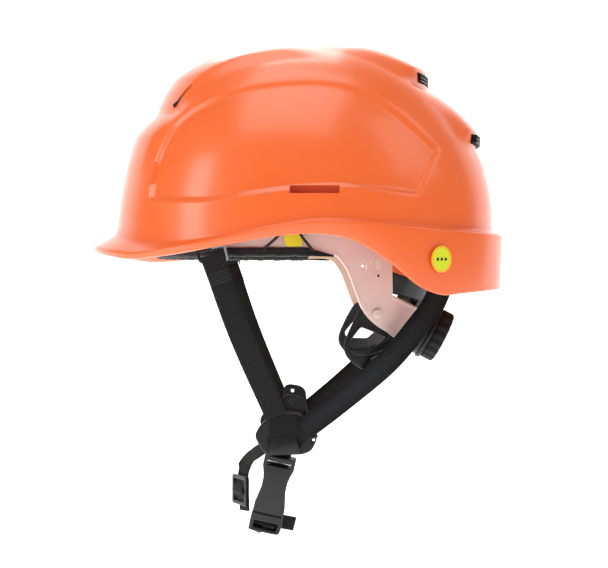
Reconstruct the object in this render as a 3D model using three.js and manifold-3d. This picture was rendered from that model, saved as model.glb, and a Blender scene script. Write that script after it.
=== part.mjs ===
// Arborist helmet: shell, textile suspension, headband, ratchet nape adjuster and four-leg chin strap.
// Millimetres. +Z is up, -Y is the front, +X is the wearer's left. The origin is the centre of the
// wearer's head at the level of the headband.
import * as THREE from "three";
import { mergeVertices } from "three/addons/utils/BufferGeometryUtils.js";
import Module from "manifold-3d";

const wasm = await Module();
wasm.setup();

// ---- driving dimensions ----
const GAP = 0.35; // between pieces that touch

// shell
const SHELL_WALL = 3;
const SHELL_Y = 2; // plan centre of the dome
const SHELL_Z = 10; // height of the dome's centre
const DOME_FRONT = 128;
const DOME_REAR = 130.8;
const DOME_SIDE = 106;
const DOME_TOP = 127.2;
const PEAK_REACH = 16.5; // rim beyond the wall at the front
const LEDGE_REAR = 7; // rim beyond the wall at the rear
const LEDGE_SIDE = 2.8;
const SHELL_COLUMNS = 64;
const PANEL_DEPTH = 2.4;
const SLOT_LENGTH = 31; // accessory slot
const SLOT_HEIGHT = 5;
const SLOT_Y = 9.4;
const SLOT_Z = 28.4;
const SLOT_PAD = [40, 14]; // flat land round the slot
const BADGE_RADIUS = 8.6;

// headband and suspension
const BAND_FRONT = 98; // half length, outer face
const BAND_SIDE = 80; // half width, outer face
const BAND_WALL = 1.6;
const BAND_LOW = -12;
const BAND_TOP = 20;
const SWEAT_THICK = 3.4;
const HEM_THICK = 1.2;
const HEM_TOP = -7;
const CROWN_STRAP_WIDTH = 20;
const CROWN_STRAP_THICK = 1.2;
const CROWN_HEIGHT = 92; // underside of the lowest strap over the origin
const CLIP_WIDTH = 16;
const CLIP_DEPTH = 5;
const CLIP_Z = 18;
const LINER_THICK = 0.9;
const LINER_EDGE = 32;
const TAB_WIDTH = 12;

// nape adjuster, in its own tilted frame: x across, y out to the rear, z up
const NAPE_Y = 100.5;
const NAPE_Z = -69;
const NAPE_TILT = 27.1;
const RACK_RADIUS = 77; // inner face of the racks, about the nape's upright axis
const RACK_THICK = 1.5;
const CRADLE_THICK = 1.8;
const KNOB_RADIUS = 18;
const KNOB_DEPTH = 9.2;
const DRUM_RADIUS = 18.5;
const DRUM_DEPTH = 6.2;
const COVER_DEPTH = 2.6;
const SPINDLE_RADIUS = 3;
const PINION_TEETH = 10;
const PINION_RADIUS = 5; // pitch radius
const TOOTH_HALF_HEIGHT = 0.6;
const TOOTH_WIDTH = 1.1;

// chin strap
const WEB_WIDTH = 15;
const WEB_THICK = 1.6;
const DIVIDER_X = 51; // mid plane of each side divider
const DIVIDER_THICK = 3.6;
const BUCKLE_THICK = 9;
const BUCKLE_SIDE = 3; // from the webbing to the buckle's side
const BUCKLE_WIDTH = WEB_WIDTH + 2 * BUCKLE_SIDE;
const WEB_SLOT = WEB_WIDTH / 2 + 0.5; // half length of a slot for the webbing
const BUCKLE_TOP = new THREE.Vector3(45, -12.6, -145.4);
const BUCKLE_LOW = new THREE.Vector3(33, -24.6, -199);

// ---- materials ----
function finish(color, roughness, metalness = 0) {
  return new THREE.MeshStandardMaterial({ color, roughness, metalness });
}
const ORANGE = finish(0xf26a2e, 0.25);
const YELLOW = finish(0xe9e428, 0.5);
const PALE = finish(0xbea09b, 0.4);
const BLACK = finish(0x17171a, 0.45);
const WEB = finish(0x1c1c20, 0.85);
const GREY = finish(0x7d8a8e, 0.5);
const FOAM = finish(0x202022, 0.95);
const STEEL = finish(0xb9bcc0, 0.3, 1);

// ---- tools ----
const TAU = Math.PI * 2;
const { degToRad, clamp, lerp } = THREE.MathUtils;

function ease(from, to, x) {
  const t = clamp((x - from) / (to - from), 0, 1);
  return t * t * (3 - 2 * t);
}

// A smooth function through points [x, y] with rising x.
function through(points) {
  const slope = points.map((p, i) => {
    const before = points[Math.max(i - 1, 0)];
    const after = points[Math.min(i + 1, points.length - 1)];
    return (after[1] - before[1]) / (after[0] - before[0]);
  });
  return (x) => {
    const last = points.length - 1;
    if (x <= points[0][0]) return points[0][1];
    if (x >= points[last][0]) return points[last][1];
    const i = points.findIndex((p) => p[0] > x) - 1;
    const width = points[i + 1][0] - points[i][0];
    const t = (x - points[i][0]) / width;
    const a = points[i][1];
    const b = points[i + 1][1];
    return (
      a * (1 + 2 * t) * (1 - t) ** 2 +
      b * (3 - 2 * t) * t * t +
      width * (slope[i] * t * (1 - t) ** 2 - slope[i + 1] * t * t * (1 - t))
    );
  };
}

// A polyline function through points [x, y] with rising x.
function straight(points) {
  return (x) => {
    const last = points.length - 1;
    if (x <= points[0][0]) return points[0][1];
    if (x >= points[last][0]) return points[last][1];
    const i = points.findIndex((p) => p[0] > x) - 1;
    return lerp(points[i][1], points[i + 1][1], (x - points[i][0]) / (points[i + 1][0] - points[i][0]));
  };
}

function solidOf(geometry) {
  const bare = geometry.clone();
  bare.deleteAttribute("normal");
  bare.deleteAttribute("uv");
  const merged = mergeVertices(bare, 1e-3);
  const { array } = merged.attributes.position;
  const index = merged.index.array;
  const corner = (i) => new THREE.Vector3().fromArray(array, index[i] * 3);
  let volume = 0;
  const kept = [];
  for (let i = 0; i < index.length; i += 3) {
    const [a, b, c] = [index[i], index[i + 1], index[i + 2]];
    if (a === b || b === c || c === a) continue;
    kept.push(a, b, c);
    volume += corner(i).dot(corner(i + 1).cross(corner(i + 2)));
  }
  if (volume < 0) kept.reverse();
  return new wasm.Manifold(
    new wasm.Mesh({ numProp: 3, vertProperties: array, triVerts: new Uint32Array(kept) }),
  );
}

function geometryOf(solid) {
  const mesh = solid.getMesh();
  return new THREE.BufferGeometry()
    .setAttribute("position", new THREE.BufferAttribute(mesh.vertProperties, 3))
    .setIndex(new THREE.BufferAttribute(mesh.triVerts, 1));
}

const closed = (geometry) => geometryOf(solidOf(geometry));
const cut = (geometry, ...tools) =>
  geometryOf(tools.reduce((rest, tool) => rest.subtract(solidOf(tool)), solidOf(geometry)));
const join = (geometry, ...others) =>
  geometryOf(others.reduce((whole, other) => whole.add(solidOf(other)), solidOf(geometry)));

// A unit box of nu by nv by nw cells, each of its points moved to map(u, v, w).
function slab(nu, nv, nw, map) {
  const box = new THREE.BoxGeometry(1, 1, 1, nu, nv, nw);
  const place = box.attributes.position;
  for (let i = 0; i < place.count; i++) {
    const p = map(place.getX(i) + 0.5, place.getY(i) + 0.5, place.getZ(i) + 0.5);
    place.setXYZ(i, p.x, p.y, p.z);
  }
  return box;
}

// A flat outline of [x, y] points with holes, from z = low to z = high.
function plate(outline, low, high, holes = []) {
  const turned = (points, clockwise) => {
    const line = points.map((p) => new THREE.Vector2(...p));
    return THREE.ShapeUtils.isClockWise(line) === clockwise ? line : line.reverse();
  };
  const shape = new THREE.Shape(turned(outline, false));
  for (const hole of holes) shape.holes.push(new THREE.Path(turned(hole, true)));
  return new THREE.ExtrudeGeometry(shape, { depth: high - low, bevelEnabled: false }).translate(0, 0, low);
}

// The same, with the outline in (y, z) and the thickness along x.
const sidePlate = (outline, low, high, holes) =>
  plate(outline, low, high, holes).applyMatrix4(
    new THREE.Matrix4().makeBasis(
      new THREE.Vector3(0, 1, 0),
      new THREE.Vector3(0, 0, 1),
      new THREE.Vector3(1, 0, 0),
    ),
  );

// Flat webbing along a path; across(t) gives the direction of its width.
function webbing(points, across, width, thick, steps, tension = 0.5) {
  const path = new THREE.CatmullRomCurve3(
    points.map((p) => new THREE.Vector3(...p)),
    false,
    "catmullrom",
    tension,
  );
  return slab(steps, 1, 1, (u, v, w) => {
    const along = path.getTangentAt(u);
    const side = across(u);
    side.addScaledVector(along, -side.dot(along)).normalize();
    const out = along.clone().cross(side);
    return path
      .getPointAt(u)
      .addScaledVector(side, (v - 0.5) * width)
      .addScaledVector(out, (w - 0.5) * thick);
  });
}

function bend(geometry, move) {
  const place = geometry.attributes.position;
  for (let i = 0; i < place.count; i++) {
    const p = move(new THREE.Vector3().fromBufferAttribute(place, i));
    place.setXYZ(i, p.x, p.y, p.z);
  }
  return geometry;
}

// A closed outline carried along z from 0 to 1 in equal steps, ready to be bent.
function run(outline, steps) {
  const shape = new THREE.Shape(outline.map((p) => new THREE.Vector2(...p)));
  return new THREE.ExtrudeGeometry(shape, { depth: 1, steps, bevelEnabled: false });
}

function disc(radius, low, high, sides = 32) {
  return new THREE.CylinderGeometry(radius, radius, high - low, sides)
    .rotateX(Math.PI / 2)
    .translate(0, 0, (low + high) / 2);
}

function box(low, high) {
  const size = high.map((h, i) => h - low[i]);
  const mid = high.map((h, i) => (h + low[i]) / 2);
  return new THREE.BoxGeometry(...size).translate(...mid);
}

const helmet = new THREE.Group();
function add(name, geometry, material, parent = helmet) {
  const mesh = new THREE.Mesh(closed(geometry), material);
  mesh.name = name;
  parent.add(mesh);
  return mesh;
}

const sides = [
  ["left", 1],
  ["right", -1],
];
const mirrored = (geometry, side) => (side > 0 ? geometry : geometry.clone().scale(-1, 1, 1));

// ---- shell ----
// Radius of a plan oval at an azimuth: 0 is the rear, a quarter turn is the wearer's left.
const PLAN_POWER = 2.15;
function oval(azimuth, front, rear, side, power = PLAN_POWER) {
  const c = Math.cos(azimuth);
  const reach = c > 0 ? rear : front;
  return (
    (Math.abs(c) / reach) ** power + (Math.abs(Math.sin(azimuth)) / side) ** power
  ) ** (-1 / power);
}

// Extra radius along the middle of the shell, by elevation: front scoop and brow, rear lips.
const scoop = straight([
  [13, 0], [22, 1.4], [27, 2.4], [31, 0.6], [36, -2.6], [42, 2], [48, 5], [52, 4.6], [62, 2.6],
  [80, 0],
]);
const lips = straight([
  [18, 0], [23.4, -0.6], [27.4, 5.4], [33, 3.2], [39, 0.4], [46.6, -3.4], [50.8, 5.8], [60, 3.4],
  [74, 0],
]);
const sideRadius = (elevation) =>
  ((Math.cos(elevation) / DOME_SIDE) ** 2.25 + (Math.sin(elevation) / DOME_TOP) ** 2.25) ** (-1 / 2.25);

// Recessed side panel: its lower and upper edge, and a slanted rear edge.
const panelLow = through([[-99, 22.6], [-59, 21], [-30, 25], [0, 28.4], [30, 29.4], [76, 25]]);
const panelHigh = through([
  [-99, 22.6], [-94, 50], [-80, 77], [-45, 95], [-8, 101], [25, 100], [53, 89], [92, 57],
]);
function panelInset(y, z) {
  const rear = (92 - y) * 0.89 - (57 - z) * 0.46;
  const inside = Math.min(z - panelLow(y), (panelHigh(y) - z) * 0.75, rear, (y + 99) * 0.9);
  return PANEL_DEPTH * ease(0, 5, inside);
}

function domePoint(azimuth, elevation, inset) {
  const top = Math.sin(elevation);
  const flat = Math.cos(elevation);
  const front = lerp(DOME_FRONT, DOME_TOP, top ** 3) - 1.4 * ease(0.5, 0, Math.abs(top - 0.2));
  const rear = lerp(DOME_REAR, DOME_TOP, top ** 3);
  const power = lerp(PLAN_POWER, 2, top ** 2); // a true circle at the crown
  const middle = oval(azimuth, front, rear, sideRadius(elevation), power);
  const x = middle * flat * Math.sin(azimuth);
  const degrees = THREE.MathUtils.radToDeg(elevation);
  const rise =
    Math.cos(azimuth) < 0
      ? scoop(degrees) * ease(66, 54, Math.abs(x))
      : lips(degrees) * ease(56, 36, Math.abs(x));
  let radius = middle + rise;
  const y = SHELL_Y + radius * flat * Math.cos(azimuth);
  const z = SHELL_Z + radius * top;
  if (Math.abs(x) > 40) radius -= panelInset(y, z);
  radius -= inset;
  return new THREE.Vector3(
    radius * flat * Math.sin(azimuth),
    SHELL_Y + radius * flat * Math.cos(azimuth),
    SHELL_Z + radius * top,
  );
}

const footHeight = through([
  [-127, 7], [-98, -2], [-68, -2.2], [-40, 2.5], [7, 10.2], [24, 10.6], [60, 8], [98, 5.5],
  [133, 6],
]);
const cornerHeight = through([
  [-144, -5.2], [-125, -8.5], [-110, -10.6], [-89, -8.6], [-68, -5.4], [-49, -1.6], [-15, 5.2],
  [7, 8.2], [24, 8.6], [60, 6.2], [98, 3.4], [140, 2],
]);
const edgeHeight = through([
  [-144, -8.4], [-125, -12.8], [-110, -14.8], [-89, -13], [-68, -10], [-49, -6.6], [-15, -1],
  [8, 0.6], [20, -0.4], [33, -3], [45, -9], [60, -19], [75, -31], [85, -36], [94, -38], [105, -37],
  [140, -34],
]);

const atRadius = (azimuth, radius, height) => {
  const y = SHELL_Y + radius * Math.cos(azimuth);
  return new THREE.Vector3(radius * Math.sin(azimuth), y, height(y));
};

// One section of the shell: down the outside, round the rim, and up the inside.
const DOME_ROWS = [83, 75, 67, 59.5, 53.5, 50.8, 46.6, 42, 36, 31, 27.4, 23.4, 18, 11.5, 5];
function shellSection(azimuth) {
  const foot = oval(azimuth, DOME_FRONT, DOME_REAR, DOME_SIDE);
  const rim = oval(azimuth, DOME_FRONT + PEAK_REACH, DOME_REAR + LEDGE_REAR, DOME_SIDE + LEDGE_SIDE);
  const corner = atRadius(azimuth, rim, cornerHeight);
  const footPoint = atRadius(azimuth, foot, footHeight);
  const edge = atRadius(azimuth, rim - 1.6, edgeHeight);
  const between = (across, down) =>
    footPoint.clone().lerp(corner, across).setZ(lerp(footPoint.z, corner.z, down));
  const deep = ease(3, 11, corner.z - edge.z);
  const under = (point, inward, down) => {
    const flat = new THREE.Vector3(point.x, point.y - SHELL_Y, 0).setLength(inward);
    return point.clone().sub(flat).setZ(point.z - down);
  };
  const rows = DOME_ROWS.map(degToRad);
  return [
    domePoint(azimuth, Math.PI / 2, 0),
    ...rows.map((e) => domePoint(azimuth, e, 0)),
    footPoint,
    between(0.12, 0.32),
    between(0.4, 0.56),
    corner,
    edge,
    under(edge, SHELL_WALL, 0),
    under(corner, lerp(9, SHELL_WALL, deep), lerp(2.2, SHELL_WALL, deep)),
    under(footPoint, SHELL_WALL, SHELL_WALL),
    ...rows.reverse().map((e) => domePoint(azimuth, e, SHELL_WALL)),
    domePoint(azimuth, Math.PI / 2, SHELL_WALL),
  ];
}

function shellBody() {
  const count = shellSection(0).length;
  const profile = Array.from({ length: count }, (_, j) => new THREE.Vector2(count - j, j));
  const lathe = new THREE.LatheGeometry(profile, SHELL_COLUMNS);
  for (let i = 0; i <= SHELL_COLUMNS; i++) {
    const section = shellSection(((i % SHELL_COLUMNS) / SHELL_COLUMNS) * TAU);
    section.forEach((p, j) => lathe.attributes.position.setXYZ(i * count + j, p.x, p.y, p.z));
  }
  return lathe;
}

const PAD_FACE = Math.round(domePoint(Math.PI / 2, degToRad(10), 0).x) + 1;
function slotPad(side) {
  const [length, height] = SLOT_PAD;
  const low = [PAD_FACE - 4.6, SLOT_Y - length / 2, SLOT_Z - height / 2];
  return mirrored(box(low, [PAD_FACE, SLOT_Y + length / 2, SLOT_Z + height / 2]), side);
}
function slotCut(side) {
  const half = [SLOT_LENGTH / 2, SLOT_HEIGHT / 2];
  return mirrored(
    box(
      [PAD_FACE - 25, SLOT_Y - half[0], SLOT_Z - half[1]],
      [PAD_FACE + 6, SLOT_Y + half[0], SLOT_Z + half[1]],
    ),
    side,
  );
}

// The front vent slit lies along the flank of the scoop.
const SLIT_LENGTH = 19;
const SLIT_HEIGHT = 3.2;
function slitBlock(side, clearance, low, high) {
  const azimuth = degToRad(146);
  const elevation = degToRad(41);
  const outside = domePoint(azimuth, elevation, 0);
  const out = outside.clone().sub(new THREE.Vector3(0, SHELL_Y, SHELL_Z)).normalize();
  const along = new THREE.Vector3(0.25, 0.7, 0.62);
  along.addScaledVector(out, -along.dot(out)).normalize();
  const up = out.clone().cross(along);
  const block = box(
    [-SLIT_LENGTH / 2 + clearance, -SLIT_HEIGHT / 2 + clearance, low],
    [SLIT_LENGTH / 2 - clearance, SLIT_HEIGHT / 2 - clearance, high],
  );
  block.applyMatrix4(new THREE.Matrix4().makeBasis(along, up, out).setPosition(outside));
  return mirrored(block, side);
}

// The rear vents sit under the lips: an arc-shaped opening and its louvred insert.
const VENTS = [
  ["rear_vent_upper", 104.2, 111.4, 84, 26],
  ["rear_vent_lower", 63.2, 70, 119.6, 19],
];
function ventArc(low, high, reach, spread, inner, outer) {
  return slab(10, 1, 1, (u, v, w) => {
    const angle = degToRad((u - 0.5) * 2 * spread);
    const radius = reach + lerp(inner, outer, w);
    const y = SHELL_Y + radius * Math.cos(angle);
    return new THREE.Vector3(radius * Math.sin(angle), y, lerp(low, high, v));
  });
}
function ventInsert(low, high, reach, spread) {
  const bars = [0.12, 0.62].map((at) =>
    ventArc(lerp(low, high, at), lerp(low, high, at) + 1.5, reach, spread - 0.6, -1, 3),
  );
  return join(ventArc(low + GAP, high - GAP, reach, spread - 0.4, -3.4, -0.6), ...bars);
}

function shell() {
  const tools = VENTS.map(([, low, high, reach, spread]) => ventArc(low, high, reach, spread, -12, 14));
  for (const [, side] of sides) tools.push(slotCut(side), slitBlock(side, 0, -9, 9));
  return cut(join(shellBody(), slotPad(1), slotPad(-1)), ...tools);
}

function badge() {
  const azimuth = Math.atan2(90, 91);
  const rim = oval(azimuth, DOME_FRONT + PEAK_REACH, DOME_REAR + LEDGE_REAR, DOME_SIDE + LEDGE_SIDE);
  const out = new THREE.Vector3(Math.sin(azimuth), Math.cos(azimuth), 0);
  const normal = new THREE.Vector3(0.8, 0.6, -0.03).normalize();
  const across = new THREE.Vector3(0, 0, 1).cross(normal).normalize();
  const basis = new THREE.Matrix4().makeBasis(across, normal.clone().cross(across), normal);
  const centre = out.multiplyScalar(rim - 0.2).add(new THREE.Vector3(0, SHELL_Y, -15));
  return disc(BADGE_RADIUS, 0.6, 1, 28).applyMatrix4(basis.setPosition(centre));
}

add("shell", shell(), ORANGE);
add("round_badge", badge(), YELLOW);
for (const [word, side] of sides)
  add(`front_vent_insert_${word}`, slitBlock(side, GAP, -2.6, -0.8), BLACK);
for (const [name, low, high, reach, spread] of VENTS)
  add(name + "_insert", ventInsert(low, high, reach, spread), BLACK);

// ---- headband ----
// Half width of the band's outer face at a fore-aft place.
const bandX = (y, offset = 0) =>
  (BAND_SIDE + offset) *
  Math.max(0, 1 - (Math.abs(y) / (BAND_FRONT + offset)) ** PLAN_POWER) ** (1 / PLAN_POWER);

// Points round the band from the right blade's end, past the front, to the left one's.
function bandPoint(turn, offset) {
  const s = Math.sin(turn);
  const c = Math.cos(turn);
  const power = 2 / PLAN_POWER;
  return new THREE.Vector2(
    (BAND_SIDE + offset) * Math.sign(s) * Math.abs(s) ** power,
    -(BAND_FRONT + offset) * Math.sign(c) * Math.abs(c) ** power,
  );
}
const turnAt = (y) => Math.acos(-Math.sign(y) * (Math.abs(y) / BAND_FRONT) ** (PLAN_POWER / 2));

const BLADE_STATIONS = [4, 14, 23, 26.5, 30, 33, 36, 40, 43.5, 47, 52, 57, 59.4, 60.4, 66, 71, 77];
const bladeLow = through([
  [4, BAND_LOW], [23, -13], [30, -21], [35, -33], [40, -46], [47, -55], [57, -62], [66, -67],
  [77, -50],
]);
const bladeHigh = straight([[59.4, BAND_TOP], [60.4, -38], [77, -46]]);

function headband() {
  const front = Array.from({ length: 12 }, (_, i) => (i / 12) * turnAt(4));
  const half = [...front, ...BLADE_STATIONS.map(turnAt)];
  const turns = [...half.slice(1).reverse().map((t) => -t), ...half];
  const count = turns.length - 1;
  const wall = slab(count, 1, 1, (u, v, w) => {
    const turn = turns[Math.round(u * count)];
    const plan = bandPoint(turn, (w - 1) * BAND_WALL);
    const y = bandPoint(turn, 0).y;
    return new THREE.Vector3(plan.x, plan.y, lerp(bladeLow(y), bladeHigh(y), v));
  });
  const windows = [];
  for (const [, side] of sides)
    for (const y of [41.5, 50.5])
      windows.push(mirrored(box([50, y - 1.5, -22], [95, y + 1.5, -16]), side));
  return cut(wall, ...windows);
}

function sweatband() {
  const inner = -BAND_WALL - GAP;
  const pad = inner - SWEAT_THICK;
  const hem = [GAP, GAP + HEM_THICK];
  const section = [
    [pad, 21], [pad, BAND_LOW - 1.6], [hem[1], BAND_LOW - 1.6], [hem[1], HEM_TOP],
    [hem[0], HEM_TOP], [hem[0], BAND_LOW - GAP], [inner, BAND_LOW - GAP], [inner, 21],
  ];
  const end = turnAt(6);
  return bend(run(section, 36), (p) => {
    const plan = bandPoint(lerp(-end, end, p.z), p.x);
    return new THREE.Vector3(plan.x, plan.y, p.y);
  });
}

add("headband", headband(), PALE);
add("sweatband", sweatband(), FOAM);

// ---- suspension: six clips, three crown straps, liner ----
// A point on the shell's inside at an azimuth and a height near the rim.
function shellInside(azimuth, height) {
  const reach = oval(azimuth, DOME_FRONT, DOME_REAR, DOME_SIDE);
  return domePoint(azimuth, Math.atan2(height - SHELL_Z, reach), SHELL_WALL);
}
const CLIP_SEAT = 2; // the wall curves away from the clip's flat back
const CLIP_AZIMUTH = { front: 137, side: 79, rear: 38 };

// Place and inward direction of the shell's inner wall.
function wallPlace(azimuth) {
  const place = shellInside(azimuth, CLIP_Z).setZ(0);
  const along = shellInside(azimuth + 0.06, CLIP_Z).sub(shellInside(azimuth - 0.06, CLIP_Z)).setZ(0);
  const inward = new THREE.Vector3(-along.y, along.x, 0).normalize();
  if (inward.dot(place) > 0) inward.negate();
  return { place, inward };
}

// Frame on the wall: x inward, y along it, z up.
function wallFrame(azimuth) {
  const { place, inward } = wallPlace(azimuth);
  const frame = new THREE.Group();
  const along = new THREE.Vector3(0, 0, 1).cross(inward);
  new THREE.Matrix4()
    .makeBasis(inward, along, new THREE.Vector3(0, 0, 1))
    .setPosition(place)
    .decompose(frame.position, frame.quaternion, frame.scale);
  helmet.add(frame);
  return frame;
}

// Distance from the shell's inside to the headband, straight inward, over a clip's whole width.
function bandDistance(azimuth) {
  const { place, inward } = wallPlace(azimuth);
  const along = new THREE.Vector3(-inward.y, inward.x, 0);
  const step = 0.1;
  const reaches = [-0.5, 0, 0.5].map((share) => {
    const p = place.clone().addScaledVector(along, share * CLIP_WIDTH);
    let reach = 0;
    for (; Math.abs(p.x) > bandX(p.y); p.addScaledVector(inward, step)) reach += step;
    return reach;
  });
  return Math.min(...reaches) - step;
}

function clip(azimuth, hasArm) {
  const half = CLIP_WIDTH / 2;
  const front = CLIP_SEAT + CLIP_DEPTH;
  const reach = hasArm ? bandDistance(azimuth) - GAP : front + 5;
  const outline = [
    [CLIP_SEAT, CLIP_Z - 8], [front, CLIP_Z - 8], [front, CLIP_Z - 5], [reach, CLIP_Z - 5],
    [reach, CLIP_Z - 1.5], [front, CLIP_Z - 1.5], [front, CLIP_Z + 7], [CLIP_SEAT, CLIP_Z + 7],
  ];
  const upright = plate(outline, -half, half);
  return bend(upright, (p) => new THREE.Vector3(p.x, p.z, p.y));
}

// Where a crown strap leaves its clip, clear of the clip's corners however the strap is slanted.
function clipPlace(azimuth, towards) {
  const { place, inward } = wallPlace(azimuth);
  const { place: far } = wallPlace(towards);
  const slant = far.sub(place).setZ(0).angleTo(inward);
  const clear = GAP + CROWN_STRAP_THICK / 2 + (CLIP_WIDTH / 2) * Math.tan(slant);
  return place.addScaledVector(inward, CLIP_SEAT + CLIP_DEPTH + clear).setZ(CLIP_Z);
}

// A strap rises off one clip, goes over the head and down to the opposite clip.
function crownStrap(from, to, lift) {
  const a = clipPlace(from, to);
  const b = clipPlace(to, from);
  const middle = a.clone().add(b).multiplyScalar(0.5);
  const half = a.clone().sub(b).multiplyScalar(0.5);
  const along = half.clone().normalize();
  const side = new THREE.Vector3(-along.y, along.x, 0);
  const power = 2 / 2.4;
  const place = (t, out) => {
    const angle = lerp(0, Math.PI, t);
    const c = Math.cos(angle);
    const s = Math.sin(angle);
    const p = middle.clone().addScaledVector(half, Math.sign(c) * Math.abs(c) ** power);
    const height = CROWN_HEIGHT + lift - middle.z;
    p.z = middle.z + height * s ** power;
    const normal = along.clone().multiplyScalar(c / half.length());
    normal.z = s / height;
    return p.addScaledVector(normal.normalize(), out);
  };
  return slab(22, 1, 1, (u, v, w) =>
    place(u, (w - 0.5) * CROWN_STRAP_THICK).addScaledVector(side, (v - 0.5) * CROWN_STRAP_WIDTH),
  );
}

for (const [place, degrees] of Object.entries(CLIP_AZIMUTH))
  for (const [word, side] of sides) {
    const azimuth = degToRad(degrees) * side;
    add(`clip_${place}_${word}`, clip(azimuth, place !== "rear"), BLACK, wallFrame(azimuth));
  }
const { front: FRONT_CLIP, side: SIDE_CLIP, rear: REAR_CLIP } = CLIP_AZIMUTH;
const STRAP_LIFT = CROWN_STRAP_THICK + 2;
add("crown_strap_left", crownStrap(degToRad(FRONT_CLIP), degToRad(-REAR_CLIP), STRAP_LIFT), WEB);
add("crown_strap_right", crownStrap(degToRad(-FRONT_CLIP), degToRad(REAR_CLIP), 2 * STRAP_LIFT), WEB);
add("crown_strap_middle", crownStrap(degToRad(SIDE_CLIP), degToRad(-SIDE_CLIP), 0), WEB);

// The liner is a thin cap under the straps, with a tab at each temple over the headband's edge.
const LINER_HALF = [BAND_SIDE - 4, BAND_FRONT - 6, 63]; // half width, half length, height over its base
const LINER_BASE = 20;
const TAB_Y = -4;
function liner() {
  const power = 2 / 2.4;
  const bow = (angle) => Math.sign(Math.cos(angle)) * Math.abs(Math.cos(angle)) ** power;
  const rise = (angle) => Math.abs(Math.sin(angle)) ** power;
  const low = Math.asin(((LINER_EDGE - LINER_BASE) / LINER_HALF[2]) ** (1 / power));
  const rows = 9;
  const profile = [];
  for (let j = 0; j <= 2 * rows + 1; j++) profile.push(new THREE.Vector2(2 * rows + 1 - j + 0.5, j));
  const columns = 36;
  const lathe = new THREE.LatheGeometry(profile, columns);
  for (let i = 0; i <= columns; i++)
    for (let j = 0; j < profile.length; j++) {
      const inside = j > rows;
      const step = inside ? profile.length - 1 - j : j;
      const tilt = lerp(Math.PI / 2, low, step / rows);
      const grow = inside ? -LINER_THICK : 0;
      const turn = ((i % columns) / columns) * TAU;
      const reach = Math.abs(Math.cos(tilt)) < 1e-6 ? 0 : bow(tilt);
      const flat = oval(turn, LINER_HALF[1] + grow, LINER_HALF[1] + grow, LINER_HALF[0] + grow, 2.2);
      lathe.attributes.position.setXYZ(
        i * profile.length + j,
        reach * flat * Math.sin(turn),
        4 + reach * flat * Math.cos(turn),
        LINER_BASE + (LINER_HALF[2] + grow) * rise(tilt),
      );
    }
  const tabs = sides.map(([, side]) => {
    const outer = BAND_SIDE + GAP + 0.55; // room for the liner to turn
    const section = [
      [LINER_HALF[0] - 6, LINER_EDGE + 6], [LINER_HALF[0] - 1, LINER_EDGE - 4], [BAND_SIDE, 24.5],
      [outer, 22.5], [outer, -5], [outer + 1, -5], [outer + 1, 24], [BAND_SIDE + 1, 26.5],
      [LINER_HALF[0] + 1, LINER_EDGE - 1], [LINER_HALF[0] - 4, LINER_EDGE + 8],
    ];
    const tab = plate(section, TAB_Y - TAB_WIDTH / 2, TAB_Y + TAB_WIDTH / 2);
    return mirrored(bend(tab, (p) => new THREE.Vector3(p.x, p.z, p.y)), side);
  });
  return join(lathe, ...tabs);
}
add("low_friction_liner", liner(), YELLOW);

// Thin cord slung from the shell's side down to two places on the sweatband's hem.
const SLING_RADIUS = 0.9;
function sling() {
  const onHem = (y) => bandX(y) + HEM_THICK + 2 * GAP + SLING_RADIUS;
  const top = DOME_SIDE - SHELL_WALL - GAP - SLING_RADIUS - 0.4;
  const middle = (onHem(0) + top) / 2;
  const points = [
    [onHem(-23), -23, -8.5], [middle, -12, 1.5], [top, -6, 12], [top, -4, 12], [middle, 0, 1.5],
    [onHem(8.5), 8.5, -9.5],
  ];
  const path = new THREE.CatmullRomCurve3(points.map((p) => new THREE.Vector3(...p)));
  const round = new THREE.Shape().absarc(0, 0, SLING_RADIUS, 0, TAU);
  const along = { steps: 14, curveSegments: 3, bevelEnabled: false, extrudePath: path };
  return new THREE.ExtrudeGeometry(round, along);
}
for (const [word, side] of sides) add(`side_sling_${word}`, mirrored(sling(), side), WEB);

// ---- chin strap anchors and webbing ----
const HOOK = { x: 85.4, y: -56, z: -11 };
const STRAP_LEAN = new THREE.Vector3(0, 0.945, 0.327); // width direction of the front straps
function hook() {
  const eyeHalf = WEB_WIDTH / 2 + GAP;
  const half = eyeHalf + 1.7;
  const outline = [[-half, 16], [half, 16], [half, -3], [half - 1.5, -5.5], [1.5 - half, -5.5], [-half, -3]];
  const eye = [[-eyeHalf, -1.4], [-eyeHalf, 1.6], [eyeHalf, 1.6], [eyeHalf, -1.4]];
  return sidePlate(outline, -1.5, 1.5, [eye]).rotateX(degToRad(12)).translate(HOOK.x, HOOK.y, HOOK.z);
}
function frontStrap() {
  const top = [HOOK.x - 0.3, HOOK.y + 1.9, HOOK.z - 6.6];
  const points = [top, [74, -38, -64], [54.4, -15.2, -118]];
  return webbing(points, () => STRAP_LEAN.clone(), WEB_WIDTH, WEB_THICK, 10);
}
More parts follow.
